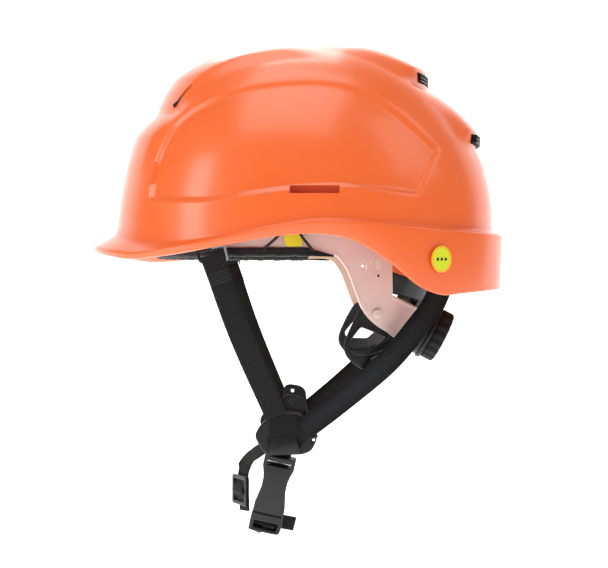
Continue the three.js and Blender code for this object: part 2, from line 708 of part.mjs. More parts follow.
// The folded end of the front strap, sewn down with bar tacks.
function strapFold() {
  const outer = WEB_THICK + 0.4;
  return webbing(
    [[HOOK.x - 0.3 + outer, HOOK.y + 1.9, HOOK.z - 6.6], [HOOK.x - 3.6 + outer, HOOK.y + 6.6, HOOK.z - 20]],
    () => STRAP_LEAN.clone(), WEB_WIDTH, WEB_THICK, 2,
  );
}
function rearStrap() {
  const clear = 0.3 * WEB_WIDTH; // a wider strap swings further out round the hanger
  const points = [
    [54.2, 3, -126.5], [59.5 + clear, 29, -105.5], [71.9 + clear, 55.5, -82], [72.3, 74, -61],
    [65, 88, -42], [61, 96, -18], [61, 98, 6],
  ];
  const lean = (u) => new THREE.Vector3(0, lerp(-0.58, -0.85, u), lerp(0.8, 0.4, u));
  return webbing(points, lean, WEB_WIDTH, WEB_THICK, 20);
}
for (const [word, side] of sides) {
  add(`front_strap_hook_${word}`, mirrored(hook(), side), GREY);
  add(`front_strap_${word}`, mirrored(frontStrap(), side), WEB);
  add(`front_strap_fold_${word}`, mirrored(strapFold(), side), WEB);
  add(`rear_strap_${word}`, mirrored(rearStrap(), side), WEB);
}

// ---- strap hangers under the blades ----
const HANGER_THICK = 2.4;
function hanger() {
  const outline = [
    [47, -43], [40, -45.5], [34, -56], [29.5, -66], [28, -72], [30, -78], [36.5, -84], [43, -87],
    [52, -85], [59, -79], [65, -71], [67, -64], [60, -57], [52, -49],
  ];
  const window = [[34.8, -65.5], [40.2, -60], [52, -64.7], [46.8, -69.3], [36.2, -68.2]];
  const slot = [[46, -79.5], [56, -75.2], [58, -78.5], [48, -83.2]];
  const flat = sidePlate(outline, -HANGER_THICK, 0, [window, slot]);
  return bend(flat, (p) => new THREE.Vector3(p.x + bandX(p.y) - BAND_WALL - GAP - 0.4, p.y, p.z));
}
function hangerPin() {
  const y = 50;
  const x = bandX(y);
  return disc(3.2, 0.4, 1.6, 16)
    .rotateY(Math.PI / 2)
    .rotateZ(degToRad(27))
    .translate(x, y, -50);
}
for (const [word, side] of sides) {
  add(`strap_hanger_${word}`, mirrored(hanger(), side), BLACK);
  add(`hanger_rivet_${word}`, mirrored(hangerPin(), side), BLACK);
}

// ---- nape adjuster ----
const nape = new THREE.Group();
nape.position.set(0, NAPE_Y, NAPE_Z);
nape.rotation.x = -degToRad(NAPE_TILT);
helmet.add(nape);
const RACK_PLANE = -21.5; // inner face of the racks at the middle
const NAPE_CENTRE = RACK_PLANE - RACK_RADIUS;

// A point round the nape: arc length, radius and height.
const roundNape = (arc, radius, height) =>
  new THREE.Vector3(
    radius * Math.sin(arc / RACK_RADIUS),
    NAPE_CENTRE + radius * Math.cos(arc / RACK_RADIUS),
    height,
  );
const arcSlab = (from, to, low, high, inner, outer, steps) =>
  slab(steps, 1, 1, (u, v, w) => roundNape(lerp(from, to, u), lerp(inner, outer, w), lerp(low, high, v)));
// Discs and plates of the ratchet lie across y.
const facing = (geometry) => geometry.rotateX(Math.PI / 2);

const CRADLE_OUT = RACK_RADIUS - GAP;
const CRADLE_IN = CRADLE_OUT - CRADLE_THICK;
// Half the cradle's arc: it ends 4 mm inside the headband's blades.
const CRADLE_END = RACK_RADIUS * Math.asin((bandX(76) - BAND_WALL - 4) / CRADLE_OUT);
function cradle() {
  const low = through([[-1, -10], [-0.77, -16], [0, -18], [0.77, -16], [1, -10]]);
  const high = through([[-1, 26], [-0.77, 27], [0, 20], [0.77, 27], [1, 26]]);
  return slab(16, 1, 1, (u, v, w) => {
    const share = lerp(-1, 1, u);
    return roundNape(share * CRADLE_END, lerp(CRADLE_IN, CRADLE_OUT, w), lerp(low(share), high(share), v));
  });
}
function napePad() {
  return arcSlab(-34, 34, -14, 16, CRADLE_IN - GAP - 6, CRADLE_IN - GAP, 8);
}
// The arm lies on the cradle's end and rises forward to the inside of the headband, over its notch.
const ARM_WIDTH = 10;
const ARM_THICK = 2;
const ARM_HEIGHT = 20;
function napeArm(side) {
  const seat = RACK_RADIUS + ARM_THICK / 2;
  const onCradle = [10, 2].map((back) => roundNape(CRADLE_END - back, seat, ARM_HEIGHT));
  const inside = (y, clear) => bandX(y) - BAND_WALL - ARM_THICK / 2 - clear;
  const points = [
    ...onCradle.map((p) => nape.localToWorld(p).toArray()),
    [inside(69, 0.85), 69, -32], [inside(60.5, 1.6), 60.5, -29.3], [inside(55, 1.9), 55, -27.6],
  ];
  const upright = new THREE.Vector3(0, 0, 1).applyQuaternion(nape.quaternion);
  return mirrored(webbing(points, () => upright.clone(), ARM_WIDTH, ARM_THICK, 10), side);
}

const RACK_IN = RACK_RADIUS;
const RACK_OUT = RACK_RADIUS + RACK_THICK;
const RACK_END = 61.6;
const RACK_TOP = 11;
const RACK_TEETH = 14;
function rack(side) {
  const pitch = (TAU * PINION_RADIUS) / PINION_TEETH;
  const root = PINION_RADIUS + TOOTH_HALF_HEIGHT;
  const tip = PINION_RADIUS - TOOTH_HALF_HEIGHT;
  const start = -pitch * 4.75;
  const teeth = [];
  for (let i = 0; i < RACK_TEETH; i++) {
    const s = start + i * pitch;
    teeth.push(arcSlab(s, s + TOOTH_WIDTH, tip, root + 0.5, RACK_IN, RACK_OUT, 1));
  }
  const bar = join(arcSlab(start - 3, RACK_END, root, RACK_TOP, RACK_IN, RACK_OUT, 16), ...teeth);
  return side > 0 ? bar : bar.rotateY(Math.PI);
}

const HOUSING_IN = RACK_OUT + GAP;
const DRUM_BACK = HOUSING_IN + NAPE_CENTRE;
const DRUM_FACE = DRUM_BACK + DRUM_DEPTH;
const COVER_FACE = DRUM_FACE + GAP + COVER_DEPTH;
const KNOB_BACK = COVER_FACE + GAP;
// A disc across y from one y to another.
const napeDisc = (radius, from, to, sides) => facing(disc(radius, -to, -from, sides));

function housing() {
  const wing = arcSlab(-46, 46, -14, 14, HOUSING_IN, HOUSING_IN + 1.8, 14);
  const drum = napeDisc(DRUM_RADIUS, DRUM_BACK + 1, DRUM_FACE, 36);
  return cut(
    join(wing, drum),
    napeDisc(PINION_RADIUS + TOOTH_HALF_HEIGHT + 1, DRUM_BACK - 2, DRUM_BACK + 1.6, 20),
    napeDisc(SPINDLE_RADIUS + GAP, DRUM_BACK - 2, DRUM_FACE + 1, 20),
  );
}
function backCover() {
  const groove = [
    [8.6, COVER_FACE - 1.5], [14.4, COVER_FACE - 1.5], [14.4, COVER_FACE + 1], [8.6, COVER_FACE + 1],
  ];
  const ring = new THREE.LatheGeometry([...groove, groove[0]].map((p) => new THREE.Vector2(...p)), 30);
  return cut(
    napeDisc(DRUM_RADIUS + 1.2, DRUM_FACE + GAP, COVER_FACE, 36),
    napeDisc(SPINDLE_RADIUS + GAP, DRUM_FACE - 1, COVER_FACE + 1, 20),
    ring,
  );
}
function detentSpring() {
  const shape = new THREE.Shape().absarc(0, 0, 13.2, degToRad(20), degToRad(340));
  shape.absarc(0, 0, 10.4, degToRad(340), degToRad(20), true);
  const leaf = new THREE.ExtrudeGeometry(shape, { depth: 1, bevelEnabled: false, curveSegments: 16 });
  return facing(leaf).translate(0, COVER_FACE - 0.15, 0);
}
function spindle() {
  const outline = [];
  for (let i = 0; i < PINION_TEETH; i++) {
    const middle = ((i + 0.5) / PINION_TEETH) * TAU;
    const half = TOOTH_WIDTH / 2 / PINION_RADIUS;
    const at = (angle, radius) => [radius * Math.cos(angle), radius * Math.sin(angle)];
    const root = PINION_RADIUS - TOOTH_HALF_HEIGHT - 0.5;
    const tip = PINION_RADIUS + TOOTH_HALF_HEIGHT - 0.2;
    outline.push(at(middle - half * 1.1, root), at(middle - half * 0.75, tip));
    outline.push(at(middle + half * 0.75, tip), at(middle + half * 1.1, root));
  }
  const pinion = facing(plate(outline, 0, 2.6)).translate(0, RACK_PLANE + 2.6, 0);
  return join(pinion, napeDisc(SPINDLE_RADIUS, RACK_PLANE + 1, KNOB_BACK + 6, 20));
}
function knob() {
  const lobes = 16;
  const steps = lobes * 4;
  const outline = Array.from({ length: steps }, (_, i) => {
    const angle = (i / steps) * TAU;
    const radius = KNOB_RADIUS - 1.1 * (0.5 - 0.5 * Math.cos(angle * lobes)) ** 2;
    return [radius * Math.cos(angle), radius * Math.sin(angle)];
  });
  const grip = facing(plate(outline, -KNOB_BACK - KNOB_DEPTH, -KNOB_BACK));
  return cut(
    grip,
    napeDisc(KNOB_RADIUS - 4, KNOB_BACK + KNOB_DEPTH - 1.2, KNOB_BACK + KNOB_DEPTH + 1, 32),
    napeDisc(SPINDLE_RADIUS + GAP, KNOB_BACK - 1, KNOB_BACK + 6 + GAP, 20),
  );
}
add("nape_cradle", cradle(), BLACK, nape);
add("nape_pad", napePad(), FOAM, nape);
for (const [word, side] of sides) {
  add(`nape_arm_${word}`, napeArm(side), BLACK);
  add(`rack_${word}`, rack(side), BLACK, nape);
}
add("ratchet_housing", housing(), BLACK, nape);
add("ratchet_cover", backCover(), BLACK, nape);
add("detent_spring", detentSpring(), STEEL, nape);
add("knob_spindle", spindle(), BLACK, nape);
add("nape_knob", knob(), BLACK, nape);

// ---- side dividers ----
function divider() {
  const outline = [
    [-30, -131], [-27, -125], [-20, -118], [-11, -114.5], [0, -115], [5, -120], [12, -132],
    [8, -141], [2, -143.5], [-22, -144], [-26, -139],
  ];
  const bar = [[-18, -121], [-9, -118], [-3, -119], [-1, -123.5], [-19, -127]];
  const window = [[-21, -131.5], [0, -127.5], [4, -131], [0, -138], [-18, -138.5]];
  return sidePlate(outline, DIVIDER_X - DIVIDER_THICK / 2, DIVIDER_X + DIVIDER_THICK / 2, [bar, window]);
}
function camLock() {
  const low = DIVIDER_X + DIVIDER_THICK / 2 + GAP;
  const outline = [[-19, -143], [-1, -143], [0, -139.5], [-3, -129.8], [-17, -132.6], [-20, -139.5]];
  return sidePlate(outline, low, low + 2.2);
}
for (const [word, side] of sides) {
  add(`strap_divider_${word}`, mirrored(divider(), side), BLACK);
  add(`cam_lock_${word}`, mirrored(camLock(), side), BLACK);
}

// ---- side-release buckle: y is its length, upwards; z faces out to the wearer's left ----
const buckle = new THREE.Group();
const buckleUp = BUCKLE_TOP.clone().sub(BUCKLE_LOW).normalize();
const buckleOut = new THREE.Vector3(1, 0, 0).addScaledVector(buckleUp, -buckleUp.x).normalize();
new THREE.Matrix4()
  .makeBasis(buckleUp.clone().cross(buckleOut), buckleUp, buckleOut)
  .setPosition(BUCKLE_TOP)
  .decompose(buckle.position, buckle.quaternion, buckle.scale);
helmet.add(buckle);
const SOCKET_LENGTH = 40;
const PLUG_REACH = 54;
const HALF_BUCKLE = BUCKLE_WIDTH / 2;

// An outline given by its rear half, completed by its mirror image.
const bothSides = (half) => [...half, ...half.map(([x, y]) => [-x, y]).reverse()];
function socket() {
  const outline = bothSides([
    [HALF_BUCKLE, 0], [HALF_BUCKLE, -7], [9, -12], [7.9, -18], [8.2, -24], [9.4, -30],
    [10.4, -36], [10.4, -SOCKET_LENGTH],
  ]);
  const body = plate(outline, -BUCKLE_THICK / 2, BUCKLE_THICK / 2);
  const webSlot = box([-WEB_SLOT, -6.4, -6], [WEB_SLOT, -3.2, 6]);
  const mouth = box([-8.6, -SOCKET_LENGTH - 1, -2.7], [8.6, -11.5, 2.7]);
  const ports = box([-14, -30.6, -2.7], [14, -14, 2.7]);
  return cut(body, webSlot, mouth, ports);
}
function plug() {
  const outline = bothSides([[10.6, -SOCKET_LENGTH - GAP], [11, -48], [10.2, -PLUG_REACH]]);
  const head = plate(outline, -BUCKLE_THICK / 2, BUCKLE_THICK / 2);
  const tongue = box([-2.4, -SOCKET_LENGTH - 2, -2.2], [2.4, -14, 2.2]);
  return cut(join(head, tongue), box([-WEB_SLOT, -51.4, -6], [WEB_SLOT, -46.6, 6]));
}
function squeezeArm(side) {
  const outline = [
    [5.2, -SOCKET_LENGTH + 0.4], [7.6, -SOCKET_LENGTH + 0.4], [7.6, -30], [8.3, -28], [8.3, -17.5],
    [7.4, -15], [6.2, -15.4], [5.6, -30],
  ];
  return mirrored(plate(outline, -2.3, 2.3), side);
}
add("buckle_socket", socket(), BLACK, buckle);
add("buckle_plug", plug(), BLACK, buckle);
add("squeeze_arm_rear", squeezeArm(1), BLACK, buckle);
add("squeeze_arm_front", squeezeArm(-1), BLACK, buckle);

// ---- chin webbing and slider ----
const LOOSE_WIDTH = 10;
function socketLoop() {
  const points = [[47.9, -10.4, -133], [45.6, -11, -138], [38.2, -12.2, -143], [36.5, -13.6, -149]];
  return webbing(points, () => new THREE.Vector3(0, 0.97, 0.2), WEB_WIDTH - 1, 1.4, 6);
}
function chinWeb() {
  const points = [
    [22.3, -37.7, -185], [21.4, -38.1, -171], [20.6, -38.4, -160], [15, -36, -153],
    [0, -31, -149], [-24, -22, -145], [-46.2, -14.2, -141.3],
  ];
  // The width lies along the slider, then turns fore and aft under the chin.
  const lean = (u) => {
    const turned = ease(0.3, 0.8, u);
    return new THREE.Vector3(lerp(0.883, 0.1, turned), lerp(0.469, 0.95, turned), 0);
  };
  return webbing(points, lean, WEB_WIDTH, WEB_THICK, 18, 0.35);
}
function plugLoop() {
  const points = [[27.4, -25.2, -193.4], [26, -30, -191.8], [24.6, -33.6, -190.6]];
  return webbing(points, () => new THREE.Vector3(0.3, 0.35, 0.89), WEB_WIDTH - 1, WEB_THICK, 4);
}
// The webbing's loose end, behind the plug's foot.
function looseEnd() {
  const points = [[29.3, -17, -190.8], [29.2, -10, -191.8], [28.4, -3.4, -193.2]];
  return webbing(points, () => buckleUp.clone(), LOOSE_WIDTH, WEB_THICK - 0.4, 4);
}
function slider() {
  const half = WEB_SLOT + BUCKLE_SIDE;
  return plate([[-half, -10], [half, -10], [half, 10], [-half, 10]], -1.4, 1.4, [
    [[-WEB_SLOT, -7.4], [WEB_SLOT, -7.4], [WEB_SLOT, -2], [-WEB_SLOT, -2]],
    [[-WEB_SLOT, 2], [WEB_SLOT, 2], [WEB_SLOT, 7.4], [-WEB_SLOT, 7.4]],
  ]);
}
const sliderFrame = new THREE.Group();
sliderFrame.position.set(22.6, -40.4, -171);
sliderFrame.rotation.set(degToRad(90), degToRad(28), 0);
helmet.add(sliderFrame);
add("strap_slider", slider(), BLACK, sliderFrame);
add("socket_loop", socketLoop(), WEB);
add("chin_strap_upper", chinWeb(), WEB);
add("chin_strap_loop", plugLoop(), WEB);
add("chin_strap_end", looseEnd(), WEB);

export default helmet;
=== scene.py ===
# Arborist helmet: glossy moulded shell with a short peak, textile suspension, translucent headband,
# ratchet nape adjuster and a four-leg chin strap with a side-release buckle.
# Shapes are worked out in millimetres in the frame's own axes and put into meshes in metres:
# +Z is up, -Y is the front, +X is the wearer's left.
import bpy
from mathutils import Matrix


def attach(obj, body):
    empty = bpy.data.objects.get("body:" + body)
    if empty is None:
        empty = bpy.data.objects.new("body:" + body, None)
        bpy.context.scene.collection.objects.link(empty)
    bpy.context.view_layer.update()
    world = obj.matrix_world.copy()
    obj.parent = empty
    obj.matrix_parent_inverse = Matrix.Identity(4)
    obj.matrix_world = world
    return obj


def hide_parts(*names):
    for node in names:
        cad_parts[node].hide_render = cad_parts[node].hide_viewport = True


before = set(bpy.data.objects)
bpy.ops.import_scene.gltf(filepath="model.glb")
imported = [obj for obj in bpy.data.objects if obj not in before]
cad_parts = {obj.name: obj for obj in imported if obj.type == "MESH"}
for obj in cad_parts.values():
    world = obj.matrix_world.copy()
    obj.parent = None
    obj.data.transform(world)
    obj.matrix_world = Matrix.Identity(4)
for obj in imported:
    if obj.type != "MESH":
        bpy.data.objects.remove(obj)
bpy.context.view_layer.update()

import math
from math import cos, pi, radians, sin

import bmesh
import bpy
from mathutils import Matrix, Vector

scene = bpy.context.scene
SIDES = [("left", 1), ("right", -1)]

# ---- studio ----
# A pale sheet swept from the floor up behind the helmet, a white sky, three soft boxes and a strip light.
# Nothing here belongs to the helmet.
FLOOR_Z = -0.30


def emitter(name, place, target, size, power):
    lamp = bpy.data.lights.new(name, "AREA")
    lamp.shape = "RECTANGLE"
    lamp.size, lamp.size_y = size
    lamp.energy = power
    holder = bpy.data.objects.new(name, lamp)
    holder.location = place
    holder.rotation_euler = (Vector(target) - Vector(place)).to_track_quat("-Z", "Y").to_euler()
    scene.collection.objects.link(holder)


def swept_sheet():
    profile = [(1.6, FLOOR_Z)]
    bend = 0.5
    turns = [k * pi / 24 for k in range(13)]
    profile += [(-0.9 - bend * sin(a), FLOOR_Z + bend - bend * cos(a)) for a in turns]
    profile.append((-0.9 - bend, 2.2))
    mesh = bpy.data.meshes.new("backdrop")
    width = 3.0
    verts = [(x, side * width, z) for x, z in profile for side in (-1, 1)]
    faces = [(2 * k, 2 * k + 2, 2 * k + 3, 2 * k + 1) for k in range(len(profile) - 1)]
    mesh.from_pydata(verts, [], faces)
    mesh.shade_smooth()
    sheet = bpy.data.objects.new("backdrop", mesh)
    scene.collection.objects.link(sheet)
    paper = bpy.data.materials.new("white paper")
    paper.use_nodes = True
    paper.node_tree.nodes["Principled BSDF"].inputs["Base Color"].default_value = (0.93, 0.93, 0.93, 1)
    paper.node_tree.nodes["Principled BSDF"].inputs["Roughness"].default_value = 0.9
    paper.node_tree.nodes["Principled BSDF"].inputs["Emission Color"].default_value = (1, 1, 1, 1)
    paper.node_tree.nodes["Principled BSDF"].inputs["Emission Strength"].default_value = 0.8
    mesh.materials.append(paper)


swept_sheet()
sky = bpy.data.worlds.new("white sky")
sky.use_nodes = True
sky.node_tree.nodes["Background"].inputs["Color"].default_value = (1, 1, 1, 1)
ray = sky.node_tree.nodes.new("ShaderNodeLightPath")
seen = sky.node_tree.nodes.new("ShaderNodeMath")
seen.operation = "MULTIPLY_ADD"
seen.inputs[1].default_value = 0.8
seen.inputs[2].default_value = 0.2
sky.node_tree.links.new(ray.outputs["Is Camera Ray"], seen.inputs[0])
sky.node_tree.links.new(seen.outputs["Value"], sky.node_tree.nodes["Background"].inputs["Strength"])
scene.world = sky
emitter("soft box over the crown", (0.45, -0.10, 1.1), (0, 0, 0.06), (0.9, 1.1), 8)
emitter("soft box above the back", (-0.6, -0.05, 0.95), (0, 0, 0.08), (0.5, 0.9), 7)
emitter("strip light at the front", (0.7, -1.05, 0.25), (0, -0.05, 0), (0.35, 0.8), 4.5)
emitter("soft box behind", (0.5, 0.95, 0.75), (0, 0.05, 0.02), (0.7, 0.7), 2.6)
scene.view_settings.view_transform = "Standard"

camera = bpy.data.objects.new("camera", bpy.data.cameras.new("camera"))
camera.data.lens = 85
camera.location = (1.0, 0.0028, -0.0308)
camera.rotation_euler = (radians(90), 0, radians(90))
scene.collection.objects.link(camera)
scene.camera = camera

# ---- shell ----
# One injection-moulded shell of glossy orange plastic, 3 mm thick. The crown carries a scoop at the front
# and two lips at the rear, each side has a recessed panel, and the rim flares out into peak and skirt.
MM = 0.001
SHELL_WALL = 3
SHELL_Y = 2
SHELL_Z = 10
DOME_FRONT = 128
DOME_REAR = 130.8
DOME_SIDE = 106
DOME_TOP = 127.2
PEAK_REACH = 16.5
LEDGE_REAR = 7
LEDGE_SIDE = 2.8
PLAN_POWER = 2.15
PANEL_DEPTH = 2.4
SHELL_COLUMNS = 400


def lerp(a, b, t):
    return a + (b - a) * t


def ease(start, end, x):
    t = min(max((x - start) / (end - start), 0), 1)
    return t * t * (3 - 2 * t)


def through(points):
    """A smooth function through points (x, y) with rising x."""
    last = len(points) - 1
    slope = []
    for i in range(last + 1):
        before, after = points[max(i - 1, 0)], points[min(i + 1, last)]
        slope.append((after[1] - before[1]) / (after[0] - before[0]))

    def value(x):
        if x <= points[0][0]:
            return points[0][1]
        if x >= points[last][0]:
            return points[last][1]
        i = next(k for k in range(last + 1) if points[k][0] > x) - 1
        width = points[i + 1][0] - points[i][0]
        t = (x - points[i][0]) / width
        a, b = points[i][1], points[i + 1][1]
        ends = a * (1 + 2 * t) * (1 - t) ** 2 + b * (3 - 2 * t) * t * t
        return ends + width * (slope[i] * t * (1 - t) ** 2 - slope[i + 1] * t * t * (1 - t))

    return value


def straight(points):
    """A polyline function through points (x, y) with rising x."""
    def value(x):
        if x <= points[0][0]:
            return points[0][1]
        for (x0, y0), (x1, y1) in zip(points, points[1:]):
            if x < x1:
                return lerp(y0, y1, (x - x0) / (x1 - x0))
        return points[-1][1]

    return value


def piece(name, mesh, material, smooth_angle=None):
    """A new object at the origin, from a mesh in metres."""
    obj = bpy.data.objects.new(name, mesh)
    scene.collection.objects.link(obj)
    if material:
        mesh.materials.append(material)
    mesh.shade_smooth()
    if smooth_angle:
        mesh.set_sharp_from_angle(angle=radians(smooth_angle))
    return obj


def mesh_of(name, verts, faces):
    """A mesh in metres from points in millimetres."""
    mesh = bpy.data.meshes.new(name)
    mesh.from_pydata([(v[0] * MM, v[1] * MM, v[2] * MM) for v in verts], [], faces)
    mesh.validate()
    return mesh


def apply_modifiers(obj):
    """Puts the object's modifiers into its mesh and removes them."""
    graph = bpy.context.evaluated_depsgraph_get()
    done = bpy.data.meshes.new_from_object(obj.evaluated_get(graph))
    obj.modifiers.clear()
    obj.data = done


def oval(azimuth, front, rear, side, power=PLAN_POWER):
    """Radius of a plan oval: azimuth 0 is the rear, a quarter turn is the wearer's left."""
    c = cos(azimuth)
    reach = rear if c > 0 else front
    return ((abs(c) / reach) ** power + (abs(sin(azimuth)) / side) ** power) ** (-1 / power)


scoop = straight([(13, 0), (22, 1.4), (27, 2.4), (31, 0.6), (36, -2.6), (42, 2), (48, 5), (52, 4.6), (62, 2.6),
                  (80, 0)])
lips = straight([(18, 0), (23.4, -0.6), (27.4, 5.4), (33, 3.2), (39, 0.4), (46.6, -3.4), (50.8, 5.8), (60, 3.4),
                 (74, 0)])
panel_low = through([(-99, 22.6), (-59, 21), (-30, 25), (0, 28.4), (30, 29.4), (76, 25)])
panel_high = through([(-99, 22.6), (-94, 50), (-80, 77), (-45, 95), (-8, 101), (25, 100), (53, 89), (92, 57)])


def softened(profile, x, spread):
    return (profile(x - spread) + 2 * profile(x) + profile(x + spread)) / 4


def panel_inset(y, z):
    rear = (92 - y) * 0.89 - (57 - z) * 0.46
    inside = min(z - panel_low(y), (panel_high(y) - z) * 0.75, rear, (y + 99) * 0.9)
    return PANEL_DEPTH * ease(0, 3.6, inside)


def dome_point(azimuth, elevation, inset=0):
    top, flat = sin(elevation), cos(elevation)
    front = lerp(DOME_FRONT, DOME_TOP, top ** 3) - 1.4 * ease(0.5, 0, abs(top - 0.2))
    rear = lerp(DOME_REAR, DOME_TOP, top ** 3)
    side = ((flat / DOME_SIDE) ** 2.25 + (top / DOME_TOP) ** 2.25) ** (-1 / 2.25)
    middle = oval(azimuth, front, rear, side, lerp(PLAN_POWER, 2, top ** 2))
    x = abs(middle * flat * sin(azimuth))
    degrees = math.degrees(elevation)
    ahead = softened(scoop, degrees, 1.1) * ease(66, 54, x)
    behind = softened(lips, degrees, 0.5) * ease(56, 36, x)
    rise = lerp(ahead, behind, ease(-0.35, 0.35, cos(azimuth)))
    radius = middle + rise
    if x > 40:
        radius -= panel_inset(SHELL_Y + radius * flat * cos(azimuth), SHELL_Z + radius * top)
    radius -= inset
    return Vector((radius * flat * sin(azimuth), SHELL_Y + radius * flat * cos(azimuth), SHELL_Z + radius * top))


foot_height = through([(-127, 7), (-98, -2), (-68, -2.2), (-40, 2.5), (7, 10.2), (24, 10.6), (60, 8), (98, 5.5),
                       (133, 6)])
corner_height = through([(-144, -5.2), (-125, -8.5), (-110, -10.6), (-89, -8.6), (-68, -5.4), (-49, -1.6),
                         (-15, 5.2), (7, 8.2), (24, 8.6), (60, 6.2), (98, 3.4), (140, 2)])
edge_height = through([(-144, -8.4), (-125, -12.8), (-110, -14.8), (-89, -13), (-68, -10), (-49, -6.6), (-15, -1),
                       (8, 0.6), (20, -0.4), (33, -3), (45, -9), (60, -19), (75, -31), (85, -36), (94, -38),
                       (105, -37), (140, -34)])


def rounded(corners, radii, steps=4):
    """The polyline through corners with each inner corner turned into an arc-like curve."""
    line = [corners[0]]
    for before, corner, after, radius in zip(corners, corners[1:], corners[2:], radii):
        a = (before - corner).normalized() * min(radius, (before - corner).length * 0.48)
        b = (after - corner).normalized() * min(radius, (after - corner).length * 0.48)
        for k in range(steps + 1):
            t = k / steps
            line.append(corner + a * (1 - t) ** 2 + b * t ** 2)
    line.append(corners[-1])
    return line


def shell_section(azimuth, rows):
    """One section: down the outside, round the rim, and up the inside."""
    foot = oval(azimuth, DOME_FRONT, DOME_REAR, DOME_SIDE)
    rim = oval(azimuth, DOME_FRONT + PEAK_REACH, DOME_REAR + LEDGE_REAR, DOME_SIDE + LEDGE_SIDE)

    def at(radius, height):
        y = SHELL_Y + radius * cos(azimuth)
        return Vector((radius * sin(azimuth), y, height(y)))

    corner, foot_point, edge = at(rim, corner_height), at(foot, foot_height), at(rim - 1.6, edge_height)
    deep = ease(3, 11, corner.z - edge.z)

    def under(point, inward, down):
        flat = Vector((point.x, point.y - SHELL_Y, 0)).normalized() * inward
        return Vector((point.x - flat.x, point.y - flat.y, point.z - down))

    def between(across, down):
        p = foot_point.lerp(corner, across)
        return Vector((p.x, p.y, lerp(foot_point.z, corner.z, down)))

    outside = [dome_point(azimuth, e) for e in rows]
    inside = [dome_point(azimuth, e, SHELL_WALL) for e in rows[::3]]
    bend = [
        outside[-1], foot_point, between(0.12, 0.32), between(0.4, 0.56), corner, edge,
        under(edge, SHELL_WALL, 0), under(corner, lerp(9, SHELL_WALL, deep), lerp(2.2, SHELL_WALL, deep)),
        under(foot_point, SHELL_WALL, SHELL_WALL), inside[-1],
    ]
    turned = rounded(bend, [2, 1.6, 2, 1.5, 1.1, 1.1, 3, 3])
    return outside[:-1] + turned + inside[:-1][::-1]


def lathe(name, sections):
    """A closed surface from sections round the upright axis; the first and last points are poles."""
    count = len(sections[0])
    columns = len(sections)
    verts = [sections[0][0]] + [p for s in sections for p in s[1:-1]] + [sections[0][-1]]
    inner = count - 2
    faces = []
    for i in range(columns):
        a, b = 1 + i * inner, 1 + ((i + 1) % columns) * inner
        faces.append((0, a, b))
        faces += [(a + j, a + j + 1, b + j + 1, b + j) for j in range(inner - 1)]
        faces.append((a + inner - 1, len(verts) - 1, b + inner - 1))
    mesh = mesh_of(name, verts, faces)
    return mesh


def facing_out(mesh):
    """Turns every closed solid of a mesh to face outwards."""
    work = bmesh.new()
    work.from_mesh(mesh)
    bmesh.ops.recalc_face_normals(work, faces=work.faces)
    left = set(work.faces)
    while left:
        solid, front = [], [left.pop()]
        while front:
            face = front.pop()
            solid.append(face)
            for edge in face.edges:
                for other in edge.link_faces:
                    if other in left:
                        left.remove(other)
                        front.append(other)
        if sum(f.normal.dot(f.calc_center_median()) * f.calc_area() for f in solid) < 0:
            bmesh.ops.reverse_faces(work, faces=solid)
    work.to_mesh(mesh)
    work.free()


def slab(nu, nv, place):
    """A closed plate: place(u, v, w) with w 0 on one face and 1 on the other."""
    verts, faces = [], []
    index = {}
    for w in (0, 1):
        for i in range(nu + 1):
            for j in range(nv + 1):
                index[i, j, w] = len(verts)
                verts.append(place(i / nu, j / nv, w))
    for i in range(nu):
        for j in range(nv):
            faces.append((index[i, j, 0], index[i, j + 1, 0], index[i + 1, j + 1, 0], index[i + 1, j, 0]))
            faces.append((index[i, j, 1], index[i + 1, j, 1], index[i + 1, j + 1, 1], index[i, j + 1, 1]))
    for i in range(nu):
        for j, flip in ((0, False), (nv, True)):
            face = (index[i, j, 0], index[i + 1, j, 0], index[i + 1, j, 1], index[i, j, 1])
            faces.append(face[::-1] if flip else face)
    for j in range(nv):
        for i, flip in ((0, True), (nu, False)):
            face = (index[i, j, 0], index[i, j + 1, 0], index[i, j + 1, 1], index[i, j, 1])
            faces.append(face[::-1] if flip else face)
    return verts, faces


def vent_arc(low, high, reach, spread, inner, outer, steps=16):
    def place(u, v, w):
        angle = radians((u - 0.5) * 2 * spread)
        radius = reach + lerp(inner, outer, w)
        return Vector((radius * sin(angle), SHELL_Y + radius * cos(angle), lerp(low, high, v)))

    return slab(steps, 1, place)


SLIT_LENGTH = 19
SLIT_HEIGHT = 3.2


def slit_frame():
    """Where the front vent slit lies on the left flank of the scoop."""
    outside = dome_point(radians(146), radians(41))
    out = (outside - Vector((0, SHELL_Y, SHELL_Z))).normalized()
    along = Vector((0.25, 0.7, 0.62))
    along = (along - out * along.dot(out)).normalized()
    up = out.cross(along)
    return Matrix((along, up, out)).transposed().to_4x4(), outside


def slit_block(side, clearance, low, high):
    turn, outside = slit_frame()
    half_length, half_height = SLIT_LENGTH / 2 - clearance, SLIT_HEIGHT / 2 - clearance

    def place(u, v, w):
        lean = 1 - 0.35 * abs(2 * u - 1) ** 3
        p = Vector((lerp(-half_length, half_length, u), lerp(-half_height, half_height, v) * lean, lerp(low, high, w)))
        p = turn @ p + outside
        return Vector((p.x * side, p.y, p.z))

    return slab(14, 1, place)


SLOT_LENGTH = 31
SLOT_HEIGHT = 5
SLOT_Y = 9.4
SLOT_Z = 28.4
VENTS = [
    ("rear_vent_upper", 104.2, 111.4, 84, 26),
    ("rear_vent_lower", 63.2, 70, 119.6, 19),
]


def block(low, high):
    return slab(1, 1, lambda u, v, w: Vector((lerp(low[0], high[0], u), lerp(low[1], high[1], v),
                                              lerp(low[2], high[2], w))))


